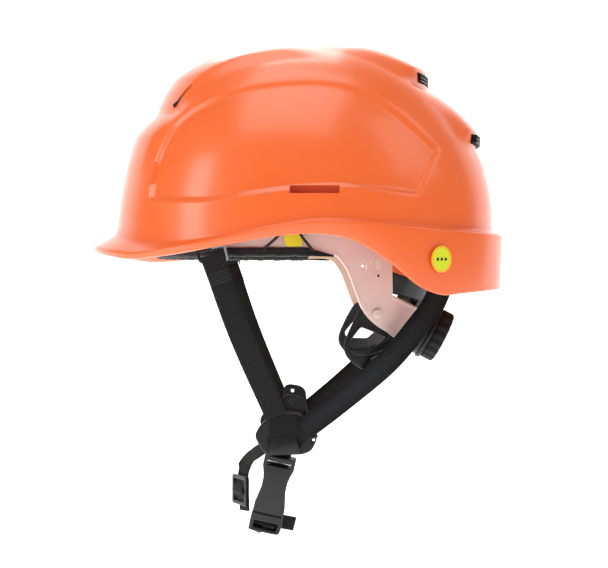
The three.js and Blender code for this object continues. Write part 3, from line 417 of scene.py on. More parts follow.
def cutter(solids):
    """A hidden object that holds the cutting solids."""
    verts, faces = [], []
    for v, f in solids:
        faces += [tuple(i + len(verts) for i in face) for face in f]
        verts += v
    mesh = mesh_of("cutter", verts, faces)
    facing_out(mesh)
    obj = bpy.data.objects.new("cutter", mesh)
    scene.collection.objects.link(obj)
    return obj


def cut(obj, solids):
    tool = cutter(solids)
    step = obj.modifiers.new("cut", "BOOLEAN")
    step.operation = "DIFFERENCE"
    step.solver = "EXACT"
    step.object = tool
    apply_modifiers(obj)
    bpy.data.objects.remove(tool)


def moulding_group():
    """Faint orange peel and fine scuffs of a moulded gloss surface."""
    group = bpy.data.node_groups.new("moulded surface", "ShaderNodeTree")
    for name, kind, value in (("Grain", "NodeSocketFloat", 900.0), ("Wear", "NodeSocketFloat", 0.5),
                              ("Roughness", "NodeSocketFloat", 0.3)):
        socket = group.interface.new_socket(name, in_out="INPUT", socket_type=kind)
        socket.default_value = value
    group.interface.new_socket("Roughness", in_out="OUTPUT", socket_type="NodeSocketFloat")
    group.interface.new_socket("Height", in_out="OUTPUT", socket_type="NodeSocketFloat")
    group.interface.new_socket("Tone", in_out="OUTPUT", socket_type="NodeSocketFloat")
    n, link = group.nodes, group.links.new
    ins, outs = n.new("NodeGroupInput"), n.new("NodeGroupOutput")
    place = n.new("ShaderNodeTexCoord")
    grain = n.new("ShaderNodeTexNoise")
    grain.inputs["Detail"].default_value = 3
    link(place.outputs["Object"], grain.inputs["Vector"])
    link(ins.outputs["Grain"], grain.inputs["Scale"])
    cloud = n.new("ShaderNodeTexNoise")
    cloud.inputs["Scale"].default_value = 38
    cloud.inputs["Detail"].default_value = 5
    link(place.outputs["Object"], cloud.inputs["Vector"])
    scratch = n.new("ShaderNodeTexNoise")
    scratch.inputs["Scale"].default_value = 160
    scratch.inputs["Detail"].default_value = 2
    stretch = n.new("ShaderNodeMapping")
    stretch.inputs["Scale"].default_value = (1, 0.12, 1.6)
    stretch.inputs["Rotation"].default_value = (0.5, 0.2, 0.9)
    link(place.outputs["Object"], stretch.inputs["Vector"])
    link(stretch.outputs["Vector"], scratch.inputs["Vector"])
    scuffs = n.new("ShaderNodeMapRange")
    scuffs.inputs["From Min"].default_value = 0.62
    scuffs.inputs["From Max"].default_value = 0.78
    link(scratch.outputs["Fac"], scuffs.inputs["Value"])
    worn = n.new("ShaderNodeMath")
    worn.operation = "MULTIPLY"
    link(scuffs.outputs["Result"], worn.inputs[0])
    link(ins.outputs["Wear"], worn.inputs[1])
    patch = n.new("ShaderNodeMapRange")
    patch.inputs["To Min"].default_value = -0.045
    patch.inputs["To Max"].default_value = 0.06
    link(cloud.outputs["Fac"], patch.inputs["Value"])
    first = n.new("ShaderNodeMath")
    link(ins.outputs["Roughness"], first.inputs[0])
    link(patch.outputs["Result"], first.inputs[1])
    second = n.new("ShaderNodeMath")
    second.operation = "MULTIPLY_ADD"
    second.inputs[1].default_value = 0.22
    link(worn.outputs["Value"], second.inputs[0])
    link(first.outputs["Value"], second.inputs[2])
    link(second.outputs["Value"], outs.inputs["Roughness"])
    link(grain.outputs["Fac"], outs.inputs["Height"])
    link(cloud.outputs["Fac"], outs.inputs["Tone"])
    return group


MOULDED = moulding_group()


def moulded(name, light, deep, roughness, grain, wear, bump, **constants):
    """Moulded plastic: two close tones, uneven gloss and a fine grain."""
    material = bpy.data.materials.new(name)
    material.use_nodes = True
    n, link = material.node_tree.nodes, material.node_tree.links.new
    shader = n["Principled BSDF"]
    surface = n.new("ShaderNodeGroup")
    surface.node_tree = MOULDED
    surface.inputs["Grain"].default_value = grain
    surface.inputs["Wear"].default_value = wear
    surface.inputs["Roughness"].default_value = roughness
    tone = n.new("ShaderNodeMix")
    tone.data_type = "RGBA"
    tone.inputs["A"].default_value = (*deep, 1)
    tone.inputs["B"].default_value = (*light, 1)
    relief = n.new("ShaderNodeBump")
    relief.inputs["Distance"].default_value = 0.0001
    relief.inputs["Strength"].default_value = bump
    link(surface.outputs["Tone"], tone.inputs["Factor"])
    link(tone.outputs["Result"], shader.inputs["Base Color"])
    link(surface.outputs["Roughness"], shader.inputs["Roughness"])
    link(surface.outputs["Height"], relief.inputs["Height"])
    link(relief.outputs["Normal"], shader.inputs["Normal"])
    for socket, value in constants.items():
        shader.inputs[socket.replace("_", " ")].default_value = value
    return material


ORANGE = moulded("glossy orange shell", (0.92, 0.150, 0.024), (0.88, 0.132, 0.018), 0.36, 260, 0.25, 0.05,
                 Coat_Weight=0.5, Coat_Roughness=0.18)


def shell_mesh():
    fine = [90 - 0.8 * k for k in range(107)]
    rows = [radians(d) for d in fine if d > 5] + [radians(5)]
    sections = [shell_section(2 * pi * i / SHELL_COLUMNS, rows) for i in range(SHELL_COLUMNS)]
    return lathe("shell", sections)


shell = piece("moulded_shell", shell_mesh(), ORANGE)
facing_out(shell.data)
openings = [vent_arc(low, high, reach, spread, -12, 14) for _, low, high, reach, spread in VENTS]
for _, side in SIDES:
    openings.append(slit_block(side, 0, -9, 9))
    ends = sorted((side * 92, side * 115))
    openings.append(block((ends[0], SLOT_Y - SLOT_LENGTH / 2, SLOT_Z - SLOT_HEIGHT / 2),
                          (ends[1], SLOT_Y + SLOT_LENGTH / 2, SLOT_Z + SLOT_HEIGHT / 2)))
cut(shell, openings)
shell.data.shade_smooth()
shell.data.set_sharp_from_angle(angle=radians(38))
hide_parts("shell")
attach(shell, "root")

# ---- slot pockets ----
# Behind each accessory slot the shell has a shallow pocket that stops the adaptor's foot. It is the shell's
# own orange plastic and stays with it.
POCKET_DEPTH = 2.6
POCKET_WALL = 1.0


def pocket(side):
    reach = 99.6
    length, height = SLOT_LENGTH / 2 + 0.4, SLOT_HEIGHT / 2 + 0.1
    outer = [(reach, length + POCKET_WALL, height + POCKET_WALL),
             (reach - POCKET_DEPTH, length + POCKET_WALL, height + POCKET_WALL)]
    inner = [(reach - POCKET_DEPTH + POCKET_WALL, length, height), (reach, length, height)]
    verts = []
    for x, half_y, half_z in outer + inner:
        for dy, dz in ((-1, -1), (1, -1), (1, 1), (-1, 1)):
            verts.append(Vector((side * x, SLOT_Y + dy * half_y, SLOT_Z + dz * half_z)))
    rings = [[4 * k + j for j in range(4)] for k in range(4)]
    faces = [tuple(rings[1]), tuple(rings[2])]
    for a, b in zip(rings, rings[1:] + rings[:1]):
        if (a, b) != (rings[1], rings[2]):
            faces += [(a[j], a[(j + 1) % 4], b[(j + 1) % 4], b[j]) for j in range(4)]
    return mesh_of("pocket", verts, faces)


for word, side in SIDES:
    walls = piece("slot_pocket_" + word, pocket(side), ORANGE)
    facing_out(walls.data)
    walls.data.set_sharp_from_angle(angle=radians(30))
    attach(walls, "root")

# ---- round badge ----
# A printed vinyl dot on the skirt: yellow face, amber border and a plain three-dot mark. It is stuck to the
# shell on the wearer's left.
BADGE_RADIUS = 8.6
BADGE_THICK = 0.35


def flat_colour(name, colour, roughness):
    return moulded(name, colour, tuple(c * 0.92 for c in colour), roughness, 700, 0.3, 0.04)


badge_inks = [flat_colour("badge yellow", (0.72, 0.78, 0.015), 0.35),
              flat_colour("badge amber", (0.95, 0.50, 0.01), 0.35),
              flat_colour("badge black ink", (0.02, 0.02, 0.02), 0.4)]


def badge_mesh():
    azimuth = math.atan2(90, 91)
    rim = oval(azimuth, DOME_FRONT + PEAK_REACH, DOME_REAR + LEDGE_REAR, DOME_SIDE + LEDGE_SIDE)
    normal = Vector((0.8, 0.6, -0.03)).normalized()
    across = Vector((0, 0, 1)).cross(normal).normalized()
    up = normal.cross(across)
    centre = Vector((sin(azimuth), cos(azimuth), 0)) * (rim - 0.2) + Vector((0, SHELL_Y, -15))
    work = bmesh.new()

    def ring(radius, height, sides=64, at=(0, 0)):
        points = []
        for k in range(sides):
            a = 2 * pi * k / sides
            p = centre + across * (at[0] + radius * cos(a)) + up * (at[1] + radius * sin(a)) + normal * height
            points.append(work.verts.new(p * MM))
        return points

    def band(a, b, ink):
        for k in range(len(a)):
            face = work.faces.new((a[k], a[(k + 1) % len(a)], b[(k + 1) % len(b)], b[k]))
            face.material_index = ink

    low = ring(BADGE_RADIUS, 0.55)
    edge = ring(BADGE_RADIUS, 0.55 + BADGE_THICK * 0.7)
    shoulder = ring(BADGE_RADIUS - 0.25, 0.55 + BADGE_THICK)
    inner = ring(BADGE_RADIUS - 1.5, 0.55 + BADGE_THICK)
    band(low, edge, 1)
    band(edge, shoulder, 1)
    band(shoulder, inner, 1)
    work.faces.new(inner)
    work.faces.new(low[::-1]).material_index = 1
    for k in (-1, 0, 1):
        foot = ring(1.15, 0.55 + BADGE_THICK - 0.05, 20, (k * 3.4, 0))
        face_edge = ring(1.1, 0.55 + BADGE_THICK + 0.06, 20, (k * 3.4, 0))
        band(foot, face_edge, 2)
        work.faces.new(face_edge).material_index = 2
        work.faces.new(foot[::-1]).material_index = 2
    mesh = bpy.data.meshes.new("badge")
    work.to_mesh(mesh)
    work.free()
    return mesh


badge = piece("badge", badge_mesh(), badge_inks[0], 30)
for ink in badge_inks[1:]:
    badge.data.materials.append(ink)
facing_out(badge.data)
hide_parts("round_badge")
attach(badge, "root")

# ---- vent inserts ----
# Black louvred inserts behind the rear openings and a plain slotted one in each front slit. They are moulded
# plastic and are clipped into the shell from the inside.
BLACK = moulded("satin black plastic", (0.012, 0.012, 0.014), (0.006, 0.006, 0.007), 0.40, 520, 0.5, 0.18,
                Specular_IOR_Level=0.3)


def join_solids(solids):
    verts, faces = [], []
    for v, f in solids:
        faces += [tuple(i + len(verts) for i in face) for face in f]
        verts += v
    return verts, faces


def edged(obj, width, segments=2, angle=35):
    """Rounds the edges of a moulded piece and puts the result in its mesh."""
    step = obj.modifiers.new("rounded edges", "BEVEL")
    step.width = width * MM
    step.segments = segments
    step.limit_method = "ANGLE"
    step.angle_limit = radians(angle)
    step.harden_normals = False
    apply_modifiers(obj)
    obj.data.shade_smooth()
    obj.data.set_sharp_from_angle(angle=radians(angle + 5))


def louvres(low, high, reach, spread):
    slats = [vent_arc(lerp(low, high, at), lerp(low, high, at) + 1.3, reach, spread - 0.6, -1.2, 3.2)
             for at in (0.12, 0.42, 0.72)]
    posts = []
    for k in range(-4, 5):
        angle = k * spread / 4.6
        start, end = angle - 0.55, angle + 0.55

        def place(u, v, w, start=start, end=end):
            a = radians(lerp(start, end, u))
            radius = reach + lerp(-1.4, 2.2, w)
            return Vector((radius * sin(a), SHELL_Y + radius * cos(a), lerp(low + 0.4, high - 0.4, v)))

        posts.append(slab(1, 1, place))
    plate = vent_arc(low + 0.35, high - 0.35, reach, spread - 0.4, -3.4, -1.1)
    return join_solids([plate, *slats, *posts])


for name, low, high, reach, spread in VENTS:
    insert = piece(name + "_louvres", mesh_of(name, *louvres(low, high, reach, spread)), BLACK)
    facing_out(insert.data)
    edged(insert, 0.25)
    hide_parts(name + "_insert")
    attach(insert, "root")
for word, side in SIDES:
    insert = piece("front_vent_louvre_" + word, mesh_of("slit", *slit_block(side, 0.35, -2.6, -0.8)), BLACK)
    facing_out(insert.data)
    edged(insert, 0.25)
    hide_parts("front_vent_insert_" + word)
    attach(insert, "root")

# ---- headband ----
# A flexible band of milky translucent plastic, its pink cast from the shell painted into its colour as a
# painted reflection. Its blades sweep down behind the ears, carry two small cut-outs and a raised border,
# and end in steps at the ratchet.
BAND_FRONT = 98
BAND_SIDE = 80
BAND_WALL = 1.6
BAND_LOW = -12
BAND_TOP = 20
GAP = 0.35

blade_low = through([(4, BAND_LOW), (23, -13), (30, -21), (35, -33), (40, -46), (47, -55), (57, -62), (66, -67),
                     (70, -62), (77, -50)])
blade_high = straight([(59.4, BAND_TOP), (60.4, -38), (77, -46)])


def band_x(y, offset=0):
    reach = max(0, 1 - (abs(y) / (BAND_FRONT + offset)) ** PLAN_POWER)
    return (BAND_SIDE + offset) * reach ** (1 / PLAN_POWER)


def band_point(turn, offset):
    """Points round the band from the right blade's end, past the front, to the left one's."""
    s, c = sin(turn), cos(turn)
    power = 2 / PLAN_POWER
    return Vector(((BAND_SIDE + offset) * math.copysign(abs(s) ** power, s),
                   -(BAND_FRONT + offset) * math.copysign(abs(c) ** power, c)))


def turn_at(y):
    return math.acos(-math.copysign((abs(y) / BAND_FRONT) ** (PLAN_POWER / 2), y))


def headband_mesh():
    stations = [4 + 0.8 * k for k in range(69)] + [59.4, 60.4] + [61.4 + 0.78 * k for k in range(21)]
    front = [i / 60 * turn_at(4) for i in range(60)]
    half = front + [turn_at(y) for y in stations]
    turns = [-t for t in half[:0:-1]] + half
    count = len(turns) - 1
    rows = 30

    def place(u, v, w):
        turn = turns[round(u * count)]
        y = band_point(turn, 0).y
        low, high = blade_low(y), blade_high(y)
        z = lerp(low, high, v)
        margin = min(z - low, high - z)
        rib = 0.35 * ease(2.6, 2.0, margin) * ease(0.1, 0.7, margin + 0.2)
        plan = band_point(turn, -BAND_WALL if w == 0 else rib)
        return Vector((plan.x, plan.y, z))

    return mesh_of("headband", *slab(count, rows, place))


# The pink in these tones is a painted reflection of the orange shell; the rivet heads use it too.
PALE_PAINTED_CAST = moulded("milky translucent plastic with painted pink cast", (0.80, 0.62, 0.57), (0.74, 0.55, 0.50), 0.38, 420, 0.3, 0.06,
               Subsurface_Weight=0.25, Subsurface_Scale=0.004, Coat_Weight=0.2, Coat_Roughness=0.2)
headband = piece("headband_moulding", headband_mesh(), PALE_PAINTED_CAST)
facing_out(headband.data)
windows = []
for _, side in SIDES:
    for y, z, half_y, half_z in ((41.5, -19, 1.6, 3.0), (50.5, -19, 1.5, 2.6), (46, -17.5, 1.2, 0.8),
                                 (42.6, -26, 0.7, 0.8), (51, -25.4, 0.7, 0.8)):
        ends = sorted((side * 50, side * 95))
        windows.append(block((ends[0], y - half_y, z - half_z), (ends[1], y + half_y, z + half_z)))
cut(headband, windows)
edged(headband, 0.3, 2, 50)
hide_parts("headband")
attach(headband, "root")

# ---- webbing ----
# Black polyester webbing, 15 mm wide and 1.6 mm thick, woven with a fine rib and firm selvedges. The front
# and rear legs come down to the side dividers, and bar tacks hold the folded ends.
WEB_WIDTH = 15
WEB_THICK = 1.6


def weave_group():
    """Interlaced yarns on a piece's own length-and-width map, in metres, with a painted glint on the raised yarns."""
    group = bpy.data.node_groups.new("interlaced yarns", "ShaderNodeTree")
    for name, value in (("Along", 0.0016), ("Across", 0.0011)):
        group.interface.new_socket(name, in_out="INPUT", socket_type="NodeSocketFloat").default_value = value
    for name in ("Height", "Painted Glint"):
        group.interface.new_socket(name, in_out="OUTPUT", socket_type="NodeSocketFloat")
    n, link = group.nodes, group.links.new

    def maths(operation, *feeds):
        node = n.new("ShaderNodeMath")
        node.operation = operation
        for k, feed in enumerate(feeds):
            if isinstance(feed, (int, float)):
                node.inputs[k].default_value = feed
            else:
                link(feed, node.inputs[k])
        return node.outputs["Value"]

    ins, outs = n.new("NodeGroupInput"), n.new("NodeGroupOutput")
    chart = n.new("ShaderNodeUVMap")
    chart.uv_map = "length and width"
    parts = n.new("ShaderNodeSeparateXYZ")
    link(chart.outputs["UV"], parts.inputs["Vector"])
    along = maths("DIVIDE", parts.outputs["X"], ins.outputs["Along"])
    across = maths("DIVIDE", parts.outputs["Y"], ins.outputs["Across"])
    row = maths("MULTIPLY", maths("FLOOR", across), 0.5)
    wave = maths("ABSOLUTE", maths("SINE", maths("MULTIPLY", maths("ADD", along, row), pi)))
    yarn = maths("ABSOLUTE", maths("SINE", maths("MULTIPLY", across, pi)))
    height = maths("MULTIPLY", wave, maths("POWER", yarn, 0.6))
    fuzz = n.new("ShaderNodeTexNoise")
    fuzz.inputs["Scale"].default_value = 900
    fuzz.inputs["Detail"].default_value = 4
    place = n.new("ShaderNodeTexCoord")
    link(place.outputs["Object"], fuzz.inputs["Vector"])
    link(maths("ADD", height, maths("MULTIPLY", fuzz.outputs["Fac"], 0.35)), outs.inputs["Height"])
    # The tops of the raised yarns get a painted glint: a lighter base colour where the fibres' highlights fall.
    link(maths("MULTIPLY", maths("POWER", height, 2.0), fuzz.outputs["Fac"]), outs.inputs["Painted Glint"])
    return group


WEAVE = weave_group()


def woven(name, deep, light, along, across, bump=0.6, roughness=0.78, sheen=0.03):
    material = bpy.data.materials.new(name)
    material.use_nodes = True
    n, link = material.node_tree.nodes, material.node_tree.links.new
    shader = n["Principled BSDF"]
    shader.inputs["Roughness"].default_value = roughness
    shader.inputs["Sheen Weight"].default_value = sheen
    shader.inputs["Specular IOR Level"].default_value = 0.2
    yarns = n.new("ShaderNodeGroup")
    yarns.node_tree = WEAVE
    yarns.inputs["Along"].default_value = along
    yarns.inputs["Across"].default_value = across
    tone = n.new("ShaderNodeMix")
    tone.data_type = "RGBA"
    tone.inputs["A"].default_value = (*deep, 1)
    tone.inputs["B"].default_value = (*light, 1)
    relief = n.new("ShaderNodeBump")
    relief.inputs["Distance"].default_value = 0.0004
    relief.inputs["Strength"].default_value = bump
    # The lighter colour is a painted glint, laid on the raised yarns.
    link(yarns.outputs["Painted Glint"], tone.inputs["Factor"])
    link(tone.outputs["Result"], shader.inputs["Base Color"])
    link(yarns.outputs["Height"], relief.inputs["Height"])
    link(relief.outputs["Normal"], shader.inputs["Normal"])
    return material


# The lighter colour of each woven material is a painted glint on its raised yarns.
WEBBING = woven("fine black webbing", (0.003, 0.003, 0.0035), (0.055, 0.055, 0.06), 0.0019, 0.0012)
RIBBED = woven("ribbed black webbing", (0.003, 0.003, 0.0035), (0.045, 0.045, 0.05), 0.0017, 0.0150)


def route(points, steps, tension=0.5):
    """Evenly spaced points on a smooth curve through the given ones."""
    points = [Vector(p) for p in points]
    ends = [points[0] * 2 - points[1], *points, points[-1] * 2 - points[-2]]
    fine = []
    for a, b, c, d in zip(ends, ends[1:], ends[2:], ends[3:]):
        start, end = (c - a) * tension, (d - b) * tension
        for k in range(40):
            t = k / 40
            fine.append(b * (2 * t ** 3 - 3 * t ** 2 + 1) + start * (t ** 3 - 2 * t ** 2 + t)
                        + c * (3 * t ** 2 - 2 * t ** 3) + end * (t ** 3 - t ** 2))
    fine.append(points[-1])
    reach = [0]
    for a, b in zip(fine, fine[1:]):
        reach.append(reach[-1] + (b - a).length)
    line, j = [], 0
    for k in range(steps + 1):
        want = reach[-1] * k / steps
        while j < len(reach) - 2 and reach[j + 1] < want:
            j += 1
        line.append(fine[j].lerp(fine[j + 1], (want - reach[j]) / (reach[j + 1] - reach[j])))
    return line, reach[-1]


def ribbon(name, points, lean, width=WEB_WIDTH, thick=WEB_THICK, rib=1.7, depth=0.10, tension=0.5, side=1,
           bow=0.0):
    """Webbing along a route; lean(u) gives the direction of its width and bow cups it across."""
    _, length = route(points, 8, tension)
    steps = max(12, int(length / rib * 4))
    line, length = route(points, steps, tension)
    columns = 12
    verts, faces, chart = [], [], []
    for k, p in enumerate(line):
        u = k / steps
        tangent = (line[min(k + 1, steps)] - line[max(k - 1, 0)]).normalized()
        across = Vector(lean(u))
        across = (across - tangent * across.dot(tangent)).normalized()
        out = tangent.cross(across)
        for face in (1, -1):
            for j in range(columns + 1):
                v = 2 * j / columns - 1
                swell = (1 - abs(v) ** 7 * 0.75) + 0.10 * math.exp(-((abs(v) - 0.9) / 0.07) ** 2)
                wave = depth * (0.5 + 0.5 * cos(2 * pi * k / 4)) * (1 - abs(v) ** 8)
                height = face * (thick / 2 * swell - wave) - bow * v * v
                q = p + across * (v * width / 2) + out * height
                verts.append(Vector((q.x * side, q.y, q.z)))
                chart.append((u * length * MM, (v + 1) / 2 * width * MM))
    ring = 2 * (columns + 1)
    order = list(range(columns + 1)) + list(range(ring - 1, columns, -1))
    for k in range(steps):
        for a, b in zip(order, order[1:] + order[:1]):
            faces.append((k * ring + a, (k + 1) * ring + a, (k + 1) * ring + b, k * ring + b))
    faces.append(tuple(order))
    faces.append(tuple(steps * ring + i for i in reversed(order)))
    mesh = mesh_of(name, verts, faces)
    layer = mesh.uv_layers.new(name="length and width")
    for loop in mesh.loops:
        layer.data[loop.index].uv = chart[loop.vertex_index]
    facing_out(mesh)
    mesh.shade_smooth()
    mesh.set_sharp_from_angle(angle=radians(60))
    return mesh


def stitch_tree():
    """Puts a thread stitch every pitch along the lines it is given."""
    tree = bpy.data.node_groups.new("row of stitches", "GeometryNodeTree")
    face = tree.interface
    face.new_socket("Lines", in_out="INPUT", socket_type="NodeSocketGeometry")
    for name, value in (("Pitch", 0.0012), ("Stitch", 0.0010), ("Thread", 0.00025)):
        face.new_socket(name, in_out="INPUT", socket_type="NodeSocketFloat").default_value = value
    face.new_socket("Material", in_out="INPUT", socket_type="NodeSocketMaterial")
    face.new_socket("Stitches", in_out="OUTPUT", socket_type="NodeSocketGeometry")
    n, link = tree.nodes, tree.links.new
    ins, outs = n.new("NodeGroupInput"), n.new("NodeGroupOutput")
    curve = n.new("GeometryNodeMeshToCurve")
    points = n.new("GeometryNodeCurveToPoints")
    points.mode = "LENGTH"
    ball = n.new("GeometryNodeMeshUVSphere")
    ball.inputs["Segments"].default_value = 8
    ball.inputs["Rings"].default_value = 5
    turn = n.new("FunctionNodeAlignRotationToVector")
    turn.axis = "X"
    slim = n.new("ShaderNodeCombineXYZ")
    share = n.new("ShaderNodeMath")
    share.operation = "DIVIDE"
    stitch = n.new("GeometryNodeInstanceOnPoints")
    real = n.new("GeometryNodeRealizeInstances")
    dress = n.new("GeometryNodeSetMaterial")
    link(ins.outputs["Lines"], curve.inputs["Mesh"])
    link(curve.outputs["Curve"], points.inputs["Curve"])
    link(ins.outputs["Pitch"], points.inputs["Length"])
    link(ins.outputs["Thread"], ball.inputs["Radius"])
    link(ins.outputs["Stitch"], share.inputs[0])
    link(ins.outputs["Thread"], share.inputs[1])
    link(share.outputs["Value"], slim.inputs["X"])
    slim.inputs["Y"].default_value = 1
    slim.inputs["Z"].default_value = 1
    link(points.outputs["Points"], stitch.inputs["Points"])
    link(ball.outputs["Mesh"], stitch.inputs["Instance"])
    link(points.outputs["Tangent"], turn.inputs["Vector"])
    link(turn.outputs["Rotation"], stitch.inputs["Rotation"])
    link(slim.outputs["Vector"], stitch.inputs["Scale"])
    link(stitch.outputs["Instances"], real.inputs["Geometry"])
    link(real.outputs["Geometry"], dress.inputs["Geometry"])
    link(ins.outputs["Material"], dress.inputs["Material"])
    link(dress.outputs["Geometry"], outs.inputs["Stitches"])
    return tree


STITCHES = stitch_tree()


def sewn(name, lines, material, pitch=1.3, stitch=0.55, thread=0.22):
    """A piece of thread stitches along polylines given in millimetres."""
    verts, edges = [], []
    for line in lines:
        edges += [(len(verts) + k, len(verts) + k + 1) for k in range(len(line) - 1)]
        verts += [tuple(c * MM for c in p) for p in line]
    mesh = bpy.data.meshes.new(name)
    mesh.from_pydata(verts, edges, [])
    obj = bpy.data.objects.new(name, mesh)
    scene.collection.objects.link(obj)
    step = obj.modifiers.new("stitches", "NODES")
    step.node_group = STITCHES
    named = {item.name: item.identifier for item in STITCHES.interface.items_tree if item.in_out == "INPUT"}
    for socket, value in (("Pitch", pitch * MM), ("Stitch", stitch * MM), ("Thread", thread * MM),
                          ("Material", material)):
        step[named[socket]] = value
    apply_modifiers(obj)
    obj.data.shade_smooth()
    return obj


THREAD = moulded("black bonded thread", (0.03, 0.03, 0.033), (0.016, 0.016, 0.018), 0.5, 1500, 0.2, 0.3)
STRAP_LEAN = Vector((0, 0.945, 0.327))
HOOK = Vector((85.4, -56, -11))


def add_web(name, node, body="root", material=WEBBING, **shape):
    obj = bpy.data.objects.new(name, ribbon(name, **shape))
    scene.collection.objects.link(obj)
    obj.data.materials.append(material)
    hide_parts(node)
    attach(obj, body)
    return obj


for word, side in SIDES:
    top = HOOK + Vector((-0.3, 1.9, -6.6))
    run = [top, (74, -38, -64), (54.4, -15.2, -118)]
    add_web("front_leg_" + word, "front_strap_" + word, points=run, lean=lambda u: STRAP_LEAN, side=side)
    outer = Vector((WEB_THICK + 0.4, 0, 0))
    folded = [top + outer, top + outer + Vector((-3.3, 4.7, -13.4))]
    fold_start = folded[0] * 2 - folded[0].lerp(folded[1], 0.38)
    add_web("front_leg_fold_" + word, "front_strap_fold_" + word,
            points=[fold_start, folded[1]], lean=lambda u: STRAP_LEAN,
            side=side)
    rows = []
    down = (folded[1] - folded[0]).normalized()
    for k in range(5):
        middle = folded[0] + down * (6.2 + 1.7 * k) + Vector((WEB_THICK / 2 + 0.02, 0, 0))
        rows.append([middle + STRAP_LEAN * s for s in (-6.4, -2, 2, 6.4)])
    rows = [[Vector((p.x * side, p.y, p.z)) for p in row] for row in rows]
    tacks = sewn("bar_tacks_" + word, rows, THREAD, pitch=0.62, stitch=0.42, thread=0.34)
    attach(tacks, "root")
    clear = 0.3 * WEB_WIDTH
    run = [(54.2, 3, -126.5), (59.5 + clear, 29, -105.5), (71.9 + clear, 55.5, -82), (72.3, 74, -61),
           (65, 88, -42), (61, 96, -18), (61, 98, 6)]
    add_web("rear_leg_" + word, "rear_strap_" + word, material=RIBBED, points=run,
            lean=lambda u: (0, lerp(-0.58, -0.85, u), lerp(0.8, 0.4, u)), depth=0.16, side=side)

# ---- sweatband ----
# A knitted black cover over thin foam, tucked inside the headband and turned up over its lower edge,
# where a row of stitches holds the hem.
HEM_THICK = 1.2


def sweatband_mesh():
    section = [(-2.1, 20.6), (-2.6, 21), (-3.8, 20.4), (-4.9, 17), (-5.5, 12), (-5.8, 5), (-5.7, -2), (-5.3, -8),
               (-4.6, -10.8), (-3.2, -12.6), (-1.2, -13.3), (0.7, -13.1), (1.8, -12.2), (2.0, -10.7),
               (1.85, -9.2), (1.5, -7.9), (0.95, -7.3), (0.5, -7.6), (0.42, -9.4), (0.42, -12.25), (-0.8, -12.4),
               (-1.95, -12.3), (-1.98, 0), (-1.98, 14)]
    closed = [Vector(p) for p in section]
    line = []
    for k in range(len(closed)):
        a, b, c = closed[k - 1], closed[k], closed[(k + 1) % len(closed)]
        line += [b.lerp(a, 0.3) * 0.5 + b.lerp(c, 0.0) * 0.5, b.lerp(c, 0.3) * 0.5 + b * 0.5]
    steps = 360
    end = turn_at(6)
    verts, faces, chart = [], [], []
    length = 210 * 2
    for k in range(steps + 1):
        turn = lerp(-end, end, k / steps)
        s = k / steps * length
        fade = ease(0, 3, min(s, length - s))
        pucker = 0.16 * sin(s * 1.9) + 0.22 * sin(s * 0.37 + 1.2) + 0.12 * sin(s * 0.83 + 0.4)
        for j, p in enumerate(line):
            low = ease(-6, -11, p.y)
            x = lerp(-1.4, p.x, lerp(0.55, 1, fade)) + (pucker * 0.5 if p.x < -3 else 0) + low * pucker * 0.6
            plan = band_point(turn, x)
            verts.append(Vector((plan.x, plan.y, p.y + low * pucker * 0.9)))
            chart.append((s * MM, j / len(line) * 0.08))
    count = len(line)
    for k in range(steps):
        for j in range(count):
            a, b = k * count + j, k * count + (j + 1) % count
            faces.append((a, b, b + count, a + count))
    faces.append(tuple(range(count)))
    faces.append(tuple(steps * count + j for j in reversed(range(count))))
    mesh = mesh_of("sweatband", verts, faces)
    layer = mesh.uv_layers.new(name="length and width")
    for loop in mesh.loops:
        layer.data[loop.index].uv = chart[loop.vertex_index]
    facing_out(mesh)
    return mesh


# The knit's lighter colour is a painted glint on its raised yarns.
KNIT = woven("knitted black cover", (0.005, 0.005, 0.0055), (0.045, 0.045, 0.05), 0.0011, 0.0008, 0.5, 0.85, 0.3)
sweatband = piece("sweatband_pad", sweatband_mesh(), KNIT, 60)
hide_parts("sweatband")
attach(sweatband, "root")
hem_row = []
for k in range(241):
    turn = lerp(-turn_at(7.5), turn_at(7.5), k / 240)
    plan = band_point(turn, 2.02)
    hem_row.append(Vector((plan.x, plan.y, -9.3)))
hem_stitches = sewn("hem_stitches", [hem_row], THREAD, pitch=2.6, stitch=1.0, thread=0.24)
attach(hem_stitches, "root")

for word, side in SIDES:
    def tail_place(u, v, w, side=side):
        y = lerp(4, 22, u)
        z = lerp(-10.2, -12.9, u) + lerp(2.6, 0.5, u) * (2 * v - 1)
        return Vector((side * (band_x(y) + 0.45 + lerp(1.3, 0.5, u) * w), y, z))

    tail = piece("hem_tail_" + word, mesh_of("tail", *slab(24, 6, tail_place)), KNIT)
    facing_out(tail.data)
    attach(tail, "root")

# ---- suspension clips ----
# Six moulded clips on the shell's wall carry the crown straps, and four of them hold the headband. Each is
# one plastic moulding with softened edges.


def refined(node, name, material, width, body="root", angle=35):
    """The frame's own piece with its facets merged and its edges rounded."""
    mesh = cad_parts[node].data.copy()
    mesh.materials.clear()
    work = bmesh.new()
    work.from_mesh(mesh)
    bmesh.ops.remove_doubles(work, verts=work.verts, dist=2e-6)
    bmesh.ops.dissolve_limit(work, angle_limit=radians(2), verts=work.verts, edges=work.edges)
    work.to_mesh(mesh)
    work.free()
    obj = piece(name, mesh, material)
    edged(obj, width, 2, angle)
    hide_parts(node)
    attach(obj, body)
    return obj


for place in ("front", "side", "rear"):
    for word, _ in SIDES:
        refined(f"clip_{place}_{word}", f"{place}_clip_{word}", BLACK, 0.5)

# ---- crown straps ----
# Three flat textile straps, 20 mm wide, crossing over the head from clip to clip. A clip holds each end, and
# the straps lie over one another where they cross.
FRONT_CLIP, SIDE_CLIP, REAR_CLIP = 137, 79, 38  # degrees round from the rear
CLIP_Z = 18
CLIP_WIDTH = 16
CLIP_FRONT = 7
CROWN_STRAP_WIDTH = 20
CROWN_STRAP_THICK = 1.2
CROWN_HEIGHT = 92


